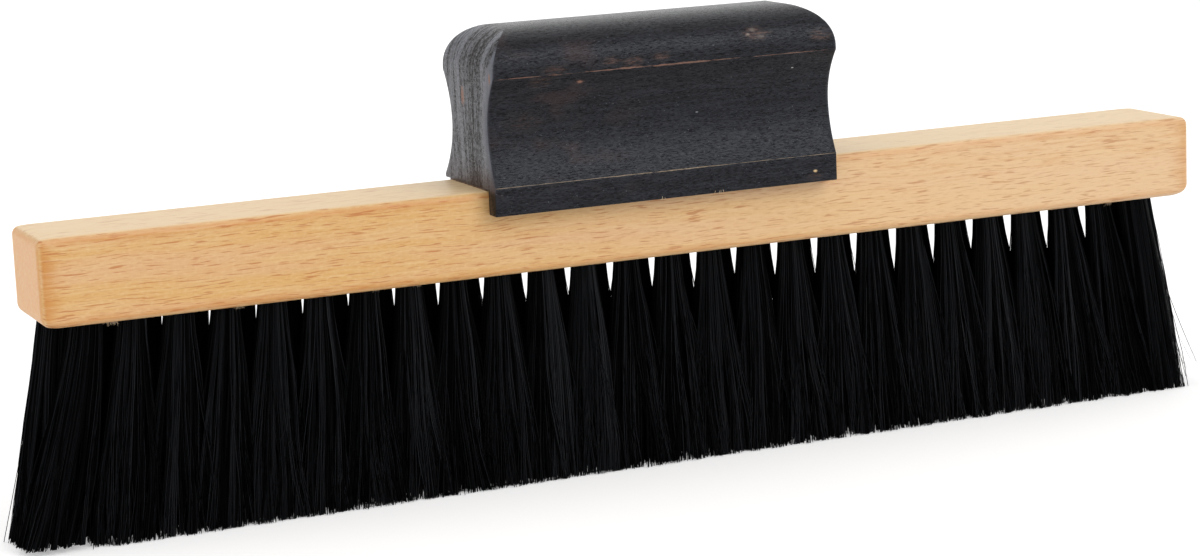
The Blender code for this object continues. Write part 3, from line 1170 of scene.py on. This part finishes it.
    def glue(self) -> Mesh:
        """Make the thin bed of glue between the grip and the beam, with its wavy squeezed rim.

        Returns:
            Its mesh, in place.
        """
        bm = bmesh.new()
        draw = random.Random(self.glue_seed)
        low, high = self.beam.top - self.glue_overlap, self.beam.top + self.joint + self.glue_overlap
        left, right = self.shift - self.length / 2, self.shift + self.length / 2
        middle = self.beam.middle_y
        front = middle - self.beam.depth / 2 + self.glue_front_inset
        back = min(middle + self.foot_back, middle + self.beam.depth / 2 - self.glue_back_inset)
        corners = [(left, front), (right, front), (right, back), (left, back)]
        rim = []
        for (x0, y0), (x1, y1) in zip(corners, corners[1:] + corners[:1]):
            for step in range(self.glue_steps):
                share = step / self.glue_steps
                inset = 1 - draw.uniform(0.0, self.glue_waves)
                x, y = x0 + (x1 - x0) * share, y0 + (y1 - y0) * share
                rim.append((x * inset, middle + (y - middle) * inset))
        base = bm.faces.new([bm.verts.new((x, y, low)) for x, y in rim])
        raised = bmesh.ops.extrude_face_region(bm, geom=[base])
        verts = [item for item in raised["geom"] if isinstance(item, bmesh.types.BMVert)]
        bmesh.ops.translate(bm, verts=verts, vec=(0, 0, high - low))
        bmesh.ops.recalc_face_normals(bm, faces=bm.faces)
        return mesh_of("glue", bm)

    def finish(self) -> BlackStain:
        """Place the stain's wear on this grip's own arrises and faces.

        Returns:
            The stain.
        """
        swell = (self.foot_front - self.waist_front) / (self.waist_height - self.arris_height) ** 2
        return BlackStain(
            origin=Vector((self.shift, self.beam.middle_y, self.beam.top)),
            half_length=self.length / 2,
            waist_height=self.waist_height,
            waist_depth=self.waist_front,
            waist_curve=swell,
            arrises=(
                (-self.bulge_front, self.bulge_height, 0.26 * MM, 0.20, BlackStain.bare),
                (-self.foot_front, self.arris_height, 0.17 * MM, 0.00, BlackStain.foot_line),
                (self.bulge_back, self.bulge_height, 0.26 * MM, 0.20, BlackStain.bare),
                (self.foot_back, self.arris_height, 0.22 * MM, 0.10, BlackStain.foot_line),
            ),
            rubbed=tuple((x * MM, z * MM, radius * MM, share) for x, z, radius, share in self.rubbed),
            marks=tuple((x * MM, z * MM, radius * MM, tone) for x, z, radius, tone in self.marks),
            end_spots=((0.3 * MM, 13.1 * MM, 1.3 * MM), (-10.6 * MM, 16.4 * MM, 0.7 * MM)),
        )

    def build(self) -> None:
        """Build and dress the grip and its glue."""
        holder = hold("grip_skin", self.skin())
        soft = holder.modifiers.new("handled edges", "BEVEL")
        soft.width = self.edge_radius
        soft.segments = 2
        soft.limit_method = "ANGLE"
        soft.angle_limit = self.edge_angle
        mesh = finished_mesh(holder)
        mesh.shade_smooth()
        mesh.set_sharp_from_angle(angle=self.sharp_angle)
        piece = new_piece("stained_grip", mesh, self.finish().material(), Slot.STAIN)
        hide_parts("grip")
        log.info("stained_grip: %d faces", len(mesh.polygons))
        new_piece("glue_bed", self.glue(), HideGlue().material())
        log.info("glue_bed")


@dataclass
class Bunch:
    """One bunch of strands: where it grows, which way, and what its strands are like.

    Goat hair is about 0.07 mm thick, and a tuft has more than these. It is drawn 0.11 mm thick, so
    that it shows and fewer hairs fill the tuft.
    """

    seed: int
    mouth: Vector
    lean: Vector
    length: float
    count: int
    root_radius: float
    tip_reach: tuple
    late_shift: tuple = (0.0, 0.0, 0.0)
    radius: float = 0.055 * MM
    taper: float = 1.1
    sunk: float = 2.0 * MM
    steps: int = 7
    lock_size: float = 0.9 * MM
    lock_pull: float = 0.5
    crossing: float = 3.6 * MM
    ragged: float = 0.11 * MM
    wave: float = 1.0 * MM
    stray: float = 7.0 * MM
    loose: float = 1.2 * MM
    tone_top: float = 1.0
    # Painted shade on the hairs that face the other row: the share of tone they keep, where 1 paints
    # none
    inner_tone: float = 1.0
    outward: float = -1.0
    rim_power: float = 0.36


@dataclass
class StrandRule:
    """The rule that grows a bunch: hair from its hole, or fibres from the rim of one.

    Its powers bend how a bunch widens, spreads and strays on the way down.
    """

    squareness: float = -0.8
    trim_point: float = 0.9
    trim_chance: float = 0.55
    spread_power: float = 1.6
    late_power: float = 1.7
    stray_power: float = 12.0
    lock_waves: float = 9.0
    strand_waves: float = 6.0
    second_chances: float = 101.0
    across_level: tuple = (1.0, 0.14, 0.0)
    lock_tone: float = 0.5
    own_tone: float = 0.5
    inner_part: tuple = (-0.1, 0.4)
    taper_from: float = 0.5
    sides: int = 3

    def __post_init__(self) -> None:
        """Build the rule's tree, with an input for each field of a bunch."""
        kinds = {int: "Int", float: "Float", tuple: "Vector", Vector: "Vector"}
        inputs = {self.title(item.name): f"NodeSocket{kinds[item.type]}" for item in fields(Bunch)}
        inputs["Finish"] = "NodeSocketMaterial"
        self.tree, given = new_tree("bunch of strands", inputs)
        add = partial(add_node, self.tree)
        line = add(Kind.LINE, (0.0, 0.0, 0.0), (0.0, 0.0, -1.0))
        bunch = add(Kind.COPIES, add(Kind.STEPS, line, given["Steps"]), given["Count"])
        strand = add(Kind.WHICH_CURVE)
        along = add(Kind.ALONG)
        one = add(Kind.CHANCES, strand, given["Seed"])
        two = add(Kind.CHANCES, strand, add(Kind.PLUS, given["Seed"], self.second_chances))
        first = add(Kind.SPLIT, one).node.outputs
        second = add(Kind.SPLIT, two).node.outputs

        # Each hair has a place in the hole's disc, which widens to a rounded square at the tips
        radius = add(Kind.POWER, first[0], given["Rim Power"])
        angle = add(Kind.TIMES, first[1], math.tau)
        rim = add(Kind.JOIN, add(Kind.COSINE, angle), add(Kind.SINE, angle))
        disc = add(Kind.VECTOR_SIZED, rim, radius)
        root = add(Kind.VECTOR_SIZED, disc, given["Root Radius"])
        side = add(Kind.SPLIT, add(Kind.VECTOR_UNSIGNED, rim)).node.outputs
        stretch = add(Kind.POWER, add(Kind.LARGER, side[0], side[1]), self.squareness)
        tip = add(Kind.VECTOR_TIMES, add(Kind.VECTOR_SIZED, disc, stretch), given["Tip Reach"])

        # The tips draw together in locks, one to a cell
        shift = add(Kind.JOIN, given["Seed"], given["Seed"])
        scaled = add(Kind.VECTOR_SIZED, tip, add(Kind.OVER, 1.0, given["Lock Size"]))
        cell = add(Kind.CELLS, add(Kind.VECTOR_PLUS, scaled, shift), 1.0)
        centre = add(Kind.VECTOR_SIZED, add(Kind.VECTOR_MINUS, cell, shift), given["Lock Size"])
        chance = cell.node.outputs["Color"]
        lock = add(Kind.SPLIT, chance).node.outputs
        drawn = add(Kind.BETWEEN, add(Kind.TIMES, given["Lock Pull"], along), tip, centre)

        # The trim leaves each lock a point: its middle hairs are the longest
        uneven = add(Kind.TIMES, lock[0], self.trim_chance)
        outer = add(Kind.TIMES_PLUS, cell.node.outputs["Distance"], self.trim_point, uneven)
        full = add(Kind.MINUS, given["Length"], add(Kind.TIMES, outer, given["Ragged"]))
        whole = add(Kind.PLUS, full, given["Sunk"])
        run = add(Kind.TIMES_PLUS, along, whole, add(Kind.TIMES, given["Sunk"], -1.0))

        # The hair spreads fastest below the hole
        part = add(Kind.OVER, run, given["Length"], use_clamp=True)
        rest = add(Kind.POWER, add(Kind.MINUS, 1.0, part), self.spread_power)
        across = add(Kind.BETWEEN, add(Kind.MINUS, 1.0, rest), root, drawn)
        stem = add(Kind.VECTOR_PLUS, given["Mouth"], add(Kind.VECTOR_SIZED, given["Lean"], run))
        straight = add(Kind.VECTOR_PLUS, stem, across)

        # Lower down some locks lie across their neighbours, and a few hairs stray far
        middle = (0.5, 0.5, 0.5)
        aside = add(Kind.VECTOR_TIMES, add(Kind.VECTOR_MINUS, chance, middle), self.across_level)
        aside = add(Kind.VECTOR_SIZED, aside, given["Crossing"])
        flat = add(Kind.VECTOR_TIMES, add(Kind.VECTOR_MINUS, two, middle), self.across_level)
        rarely = add(Kind.POWER, first[2], self.stray_power)
        far = add(Kind.TIMES_PLUS, rarely, given["Stray"], given["Loose"])
        both = add(Kind.VECTOR_PLUS, aside, add(Kind.VECTOR_SIZED, flat, far))
        both = add(Kind.VECTOR_PLUS, both, given["Late Shift"])
        late = add(Kind.VECTOR_SIZED, both, add(Kind.POWER, part, self.late_power))
        messy = add(Kind.VECTOR_PLUS, straight, late)

        # Each lock waves in its own way, and its hairs nearly so
        turn = add(Kind.TIMES_PLUS, lock[2], self.lock_waves, second[1])
        swing = add(Kind.SINE, add(Kind.TIMES_PLUS, part, self.strand_waves, turn))
        sway = add(Kind.TIMES, swing, add(Kind.TIMES, part, given["Wave"]))
        bend = add(Kind.VECTOR_TIMES, add(Kind.VECTOR_SIZED, chance, sway), self.across_level)
        posed = add(Kind.MOVE, bunch, add(Kind.VECTOR_PLUS, messy, bend))

        # Hairs of one lock share most of their tone; hairs on the side of a row that faces the other row
        # get a painted shade, darker and less glossy
        tone = add(Kind.TIMES_PLUS, lock[1], self.lock_tone, add(Kind.TIMES, second[2], self.own_tone))
        tone = add(Kind.TIMES, tone, given["Tone Top"])
        depth = add(Kind.TIMES, add(Kind.SPLIT, disc).node.outputs["Y"], given["Outward"])
        outer = add(Kind.RANGE, depth, *self.inner_part, given["Inner Tone"])
        toned = add(Kind.STORE, posed, TONE, add(Kind.TIMES, tone, outer))
        taper = add(Kind.RANGE, along, self.taper_from, 1.0, 1.0, given["Taper"])
        profile = add(Kind.RING, self.sides, given["Radius"])
        swept = add(Kind.SWEEP, toned, profile, taper, True)
        close_tree(self.tree, add(Kind.SMOOTH, swept), given["Finish"])

    @staticmethod
    def title(name: str) -> str:
        """Turn a field's name to its input's name."""
        return name.replace("_", " ").title()

    def grow(self, name: str, bunch: Bunch, finish: Material) -> Mesh:
        """Grow one bunch.

        Args:
            name: The name of its mesh.
            bunch: What it is like.
            finish: Its material.

        Returns:
            Its mesh, in place.
        """
        values = {self.title(item.name): getattr(bunch, item.name) for item in fields(bunch)}
        values["Finish"] = finish
        return run_tree(name, self.tree, bpy.data.meshes.new(name), values)


@dataclass
class TuftPlace:
    """Where one tuft is set: its name, its hole's mouth and the way its hair leans."""

    name: str
    row: Row
    share: float
    mouth: Vector
    lean: Vector

    @property
    def outermost(self) -> bool:
        """Tell whether it is the first or the last tuft of its row."""
        return abs(self.share) > OUTERMOST

    @property
    def fans(self) -> bool:
        """Tell whether it is the first front tuft, which alone fans out to the brush's corner."""
        return self.outermost and self.row is Row.FRONT and self.share < 0


@dataclass
class Tufts:
    """The 53 tufts, each of hair folded into its own hole, fanned out and trimmed level.

    Loose hairs have a tuft's name, how far their tips stand off in millimetres, and a count. Curled
    hairs have the size of their waves instead.
    """

    beam: Beam
    rule: StrandRule
    rear_count: int = 27
    end_margin: float = 3.43 * MM
    row_spacing: float = 4.1 * MM
    end_lean: float = math.radians(9.0)
    row_lean: float = math.radians(1.8)
    unevenness: float = math.radians(0.9)
    root_radius: float = 1.70 * MM
    tip_reach_x: float = 4.25 * MM
    tip_reach_y: float = 3.3 * MM
    hairs: int = 760
    fullness: float = 0.95
    left_fullness: float = 0.22
    fuller_part: tuple = (-0.1, -0.9)
    fullness_chance: float = 0.04
    end_density: float = 1.6
    end_root: float = 1.34
    end_press: float = 0.5 * MM
    end_spread: float = 0.70
    corner_spread: float = 0.95
    corner_shift: float = 3.2 * MM
    corner_trim: float = 0.7 * MM
    crowding: float = 0.55 * MM
    crowded_from: float = 0.88
    # Painted shade between the rows: the hairs that face the other row keep this share of their tone
    inner_tone: float = 0.3
    first_seed: int = 10
    seed_step: int = 7
    loose: tuple = (("tuft_rear_01", -1.2, 6), ("tuft_rear_27", 5.6, 6), ("tuft_front_26", 4.4, 2))
    curled: tuple = (
        ("tuft_front_05", 7.0, 2),
        ("tuft_front_12", 5.0, 2),
        ("tuft_front_19", 8.0, 3),
        ("tuft_front_23", 6.0, 3),
    )

    def places(self) -> list[TuftPlace]:
        """Set the tufts out.

        Returns:
            Every tuft's place, front row first, from left to right.
        """
        pitch = (self.beam.length - 2 * self.end_margin) / (self.rear_count - 1)
        found = []
        for row, count in ((Row.FRONT, self.rear_count - 1), (Row.REAR, self.rear_count)):
            for index in range(count):
                x = (index - (count - 1) / 2) * pitch
                share = 2 * x / self.beam.length
                along = math.tan(self.end_lean) * share * abs(share)
                lean = Vector((along, row.value * math.tan(self.row_lean), -1))
                y = self.beam.middle_y + row.value * self.row_spacing / 2
                name = f"tuft_{row.name.lower()}_{index + 1:02d}"
                found.append(TuftPlace(name, row, share, Vector((x, y, self.beam.bottom)), lean))
        return found

    def bunch(self, seed: int, place: TuftPlace) -> Bunch:
        """Give one tuft's hair.

        Args:
            seed: The seed of its chances.
            place: Where it is set.

        Returns:
            Its bunch.
        """
        # The left tufts are packed a little fuller, and no two hold quite the same
        draw = random.Random(seed)
        start, end = self.fuller_part
        leftness = min(1.0, max(0.0, start - place.share) / (start - end))
        fullness = self.fullness + self.left_fullness * leftness
        fullness += draw.uniform(-self.fullness_chance, self.fullness_chance)
        sideways = math.tan(draw.uniform(-1, 1) * self.unevenness)
        if place.outermost:
            return self.end_bunch(seed, place)
        # The rear row's last tuft but one leans on its neighbour's root
        crowded = self.crowding if place.share > self.crowded_from else 0.0
        return Bunch(
            seed=seed,
            mouth=place.mouth + Vector((crowded, 0, 0)),
            lean=place.lean + Vector((sideways, 0, 0)),
            length=self.beam.bottom,
            count=self.hairs,
            root_radius=self.root_radius * fullness,
            tip_reach=(self.tip_reach_x, self.tip_reach_y, 0.0),
            inner_tone=self.inner_tone,
            outward=float(place.row.value),
        )

    def end_bunch(self, seed: int, place: TuftPlace) -> Bunch:
        """Give an outermost tuft's hair: dense, orderly and pressed inwards in its hole.

        Args:
            seed: The seed of its chances.
            place: Where it is set.

        Returns:
            Its bunch.
        """
        spread = self.corner_spread if place.fans else self.end_spread
        return Bunch(
            seed=seed,
            mouth=place.mouth - Vector((math.copysign(self.end_press, place.share), 0, 0)),
            lean=place.lean,
            length=self.beam.bottom - (self.corner_trim if place.fans else 0.0),
            count=int(self.hairs * self.end_density),
            root_radius=self.root_radius * self.end_root,
            tip_reach=(self.tip_reach_x * spread, self.tip_reach_y, 0.0),
            late_shift=(-self.corner_shift if place.fans else 0.0, 0.0, 0.0),
            crossing=1.0 * MM,
            stray=3.0 * MM,
            loose=0.5 * MM,
            tone_top=0.8,
        )

    def build(self) -> None:
        """Grow and dress every tuft."""
        material = GoatHair().material()
        for number, place in enumerate(self.places()):
            bunch = self.bunch(self.first_seed + self.seed_step * number, place)
            mesh = self.rule.grow(place.name, bunch, material)
            piece = new_piece(f"{place.name}_hair", mesh, material, Slot.HAIR)
            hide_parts(place.name)
        self.loose_hairs(material)
        log.info("tufts: %d of %d hairs", len(self.places()), self.hairs)

    def loose_hairs(self, material: Material) -> None:
        """Let a few long hairs stand off the brush's ends, and curl a few over its front.

        Args:
            material: The hair's finish.
        """
        places = {place.name: place for place in self.places()}
        grown = []
        for name, outwards, count in self.loose:
            bunch = Bunch(
                seed=900,
                mouth=places[name].mouth,
                lean=places[name].lean + Vector((0, -0.01, 0)),
                length=self.beam.bottom - 0.6 * MM,
                count=count,
                root_radius=0.8 * MM,
                tip_reach=(2.6 * MM, 1.5 * MM, 0.0),
                late_shift=(outwards * MM, 0.0, 0.0),
                radius=0.04 * MM,
                taper=0.6,
                crossing=0.0,
                stray=0.0,
                lock_pull=0.0,
                ragged=1.2 * MM,
                steps=12,
            )
            grown.append((f"{name}_strays", bunch))
        for name, wave, count in self.curled:
            bunch = Bunch(
                seed=70 + count,
                mouth=places[name].mouth,
                lean=places[name].lean + Vector((0.04, -0.11, 0)),
                length=self.beam.bottom * 0.86,
                count=count,
                root_radius=0.8 * MM,
                tip_reach=(3.5 * MM, 0.8 * MM, 0.0),
                radius=0.03 * MM,
                lock_pull=0.0,
                ragged=9.0 * MM,
                wave=wave * MM,
                steps=24,
            )
            grown.append((f"{name}_curls", bunch))
        for name, bunch in grown:
            new_piece(name, self.rule.grow(name, bunch, material), material, Slot.HAIR)
            log.info(name)


@dataclass
class TornFibres:
    """Wood fibres that the tools tore up: at the rims of some holes and below the grip's lip.

    Each clump has its place along the beam, its width and its fibres' length in millimetres, and
    how many fibres it has.
    """

    beam: Beam
    rule: StrandRule
    rims: tuple = (
        (-83.5, 0.35, 0.85, 14),
        (-82.4, 0.62, 1.10, 40),
        (-76.8, 0.25, 0.70, 8),
        (-64.2, 0.52, 1.00, 30),
        (-57.4, 0.25, 0.70, 8),
        (-43.8, 0.38, 0.85, 20),
        (-37.5, 0.45, 0.90, 24),
        (73.3, 0.42, 0.85, 20),
        (79.4, 0.52, 0.95, 26),
    )
    lip_tears: tuple = ((-0.9, 0.45, 0.7, 9), (8.3, 0.9, 0.5, 20))
    rim_depth: float = 2.9 * MM
    lip_depth: float = -2.7 * MM
    lip_height: float = 3.2 * MM
    first_seed: int = 300

    def build(self) -> None:
        """Grow and dress the fibres."""
        finish = TornFibre().material()
        front = self.beam.middle_y - self.beam.depth / 2
        rims = (front + self.rim_depth, self.beam.bottom, self.rims)
        lip = (front + self.lip_depth, self.beam.top - self.lip_height, self.lip_tears)
        clumps = [(y, z, *clump) for y, z, table in (rims, lip) for clump in table]
        for number, (y, z, x, width, length, count) in enumerate(clumps):
            bunch = Bunch(
                seed=self.first_seed + number,
                mouth=Vector((x * MM, y, z)),
                lean=Vector((0.1, -0.15, -1)),
                length=length * MM,
                count=count,
                root_radius=width * MM,
                tip_reach=(1.3 * width * MM, 0.45 * MM, 0.0),
                radius=0.035 * MM,
                taper=0.4,
                sunk=0.2 * MM,
                lock_size=0.35 * MM,
                lock_pull=0.7,
                crossing=0.9 * MM,
                ragged=0.7 * MM,
                wave=0.5 * MM,
                stray=1.0 * MM,
                loose=0.4 * MM,
            )
            name = f"torn_fibres_{number + 1:02d}"
            new_piece(name, self.rule.grow(name, bunch, finish), finish, Slot.BEECH)
        log.info("torn_fibres: %d clumps", len(clumps))


@dataclass(frozen=True)
class Studio:
    """A pale floor under a soft, plain light."""

    floor_size: float = 6.0
    floor_colour: str = "#F2F2F2"
    floor_lift: float = 0.35
    clear: float = 0.02 * MM
    sky_colour: str = "#FFFFFF"
    sky_strength: float = 1.0
    front_strength: float = 0.60
    above: tuple = (0.3, 0.9, 0.50)
    behind: tuple = (0.1, 0.7)
    left: tuple = (-0.3, -0.8, 0.90)
    key_strength: float = 0.96
    key_spread: float = math.radians(36)
    key_turn: tuple = (60.0, 0.0, 27.0)

    def seen(self, tree: Tree) -> Socket:
        """Tell the rays that show the white background: the camera's own, mirrored and passed on.

        Args:
            tree: The tree of the floor's material or of the world.

        Returns:
            A socket that is 1 for such a ray.
        """
        rays = add_node(tree, Kind.RAYS).node.outputs
        mirrored = add_node(tree, Kind.LARGER, rays["Is Camera Ray"], rays["Is Glossy Ray"])
        return add_node(tree, Kind.LARGER, mirrored, rays["Is Transmission Ray"])

    def floor(self) -> None:
        """Lay the floor. What the camera sees of it is lifted to white, and its shadow stays."""
        bm = bmesh.new()
        bmesh.ops.create_grid(bm, x_segments=1, y_segments=1, size=self.floor_size / 2)
        bmesh.ops.translate(bm, verts=bm.verts, vec=(0, 0, -self.clear))
        floor = hold("floor", mesh_of("floor", bm))
        material = bpy.data.materials.new("white paper floor")
        material.use_nodes = True
        tree = material.node_tree
        shader = tree.nodes["Principled BSDF"]
        paper = {"Base Color": self.floor_colour, "Roughness": 1.0, "Specular IOR Level": 0.0}
        for socket, value in paper.items():
            feed(tree, shader.inputs[socket], value)
        glow = add_node(tree, Kind.GLOW, add_node(tree, Kind.TIMES, self.seen(tree), self.floor_lift))
        both = add_node(tree, Kind.BOTH_SHADERS, shader.outputs[0], glow)
        feed(tree, tree.nodes["Material Output"].inputs["Surface"], both)
        floor.data.materials.append(material)

    def light(self) -> None:
        """Set a white sky and one broad lamp from the upper front right."""
        world = bpy.data.worlds.new("white studio")
        world.use_nodes = True
        bpy.context.scene.world = world
        tree = world.node_tree
        add = partial(add_node, tree)
        # The sky is full above, behind and at the left, and weaker in front
        x, y, z = add(Kind.SPLIT, add(Kind.SKY_WAY)).node.outputs
        above = add(Kind.SOFT_MASK, z, *self.above)
        behind = add(Kind.SOFT_MASK, y, *self.behind)
        left = add(Kind.SOFT_MASK, x, *self.left)
        bright = add(Kind.LARGER, add(Kind.LARGER, above, behind), left)
        sky = add(Kind.SPAN, bright, self.front_strength, self.sky_strength)
        background = tree.nodes["Background"]
        feed(tree, background.inputs["Strength"], add(Kind.BLEND, self.seen(tree), sky, 1.0))
        feed(tree, background.inputs["Color"], self.sky_colour)
        lamp = bpy.data.lights.new("key", "SUN")
        lamp.energy = self.key_strength
        lamp.angle = self.key_spread
        key = bpy.data.objects.new("key", lamp)
        key.rotation_euler = Euler([math.radians(turn) for turn in self.key_turn])
        bpy.context.scene.collection.objects.link(key)

    def build(self) -> None:
        """Build the studio."""
        bpy.context.scene.view_settings.view_transform = "Standard"
        self.floor()
        self.light()
        log.info("studio")


@dataclass(frozen=True)
class PhotoCamera:
    """A camera at the photograph's viewing angle, placed from the middle of the beam's top.

    Its offset is in metres, its turn in degrees and its sensor in millimetres.
    """

    beam: Beam
    focal_pixels: float = 3031.44
    image_width: float = 1200.0
    sensor: float = 36.0
    near: float = 10 * MM
    turn: tuple = (79.557, 2.4286, -23.7382)
    offset: tuple = (-0.18290, -0.40905, 0.06591)

    def build(self) -> None:
        """Place the camera."""
        data = bpy.data.cameras.new("photo")
        data.sensor_width = self.sensor
        data.lens = self.focal_pixels / self.image_width * self.sensor
        data.clip_start = self.near
        camera = bpy.data.objects.new("photo", data)
        camera.rotation_euler = Euler([math.radians(angle) for angle in self.turn])
        camera.location = Vector((0, self.beam.middle_y, self.beam.top)) + Vector(self.offset)
        bpy.context.scene.collection.objects.link(camera)
        bpy.context.scene.camera = camera
        log.info("camera")


def main() -> None:
    """Build the brush, its studio and its camera."""
    logging.basicConfig(level=logging.INFO, format="%(name)s: %(message)s")
    beam = Beam()
    rule = StrandRule()
    tufts = Tufts(beam, rule)
    PhotoCamera(beam).build()
    Studio().build()
    beam.build(tufts.places())
    Grip(beam).build()
    tufts.build()
    TornFibres(beam, rule).build()


if __name__ == "__main__":
    main()
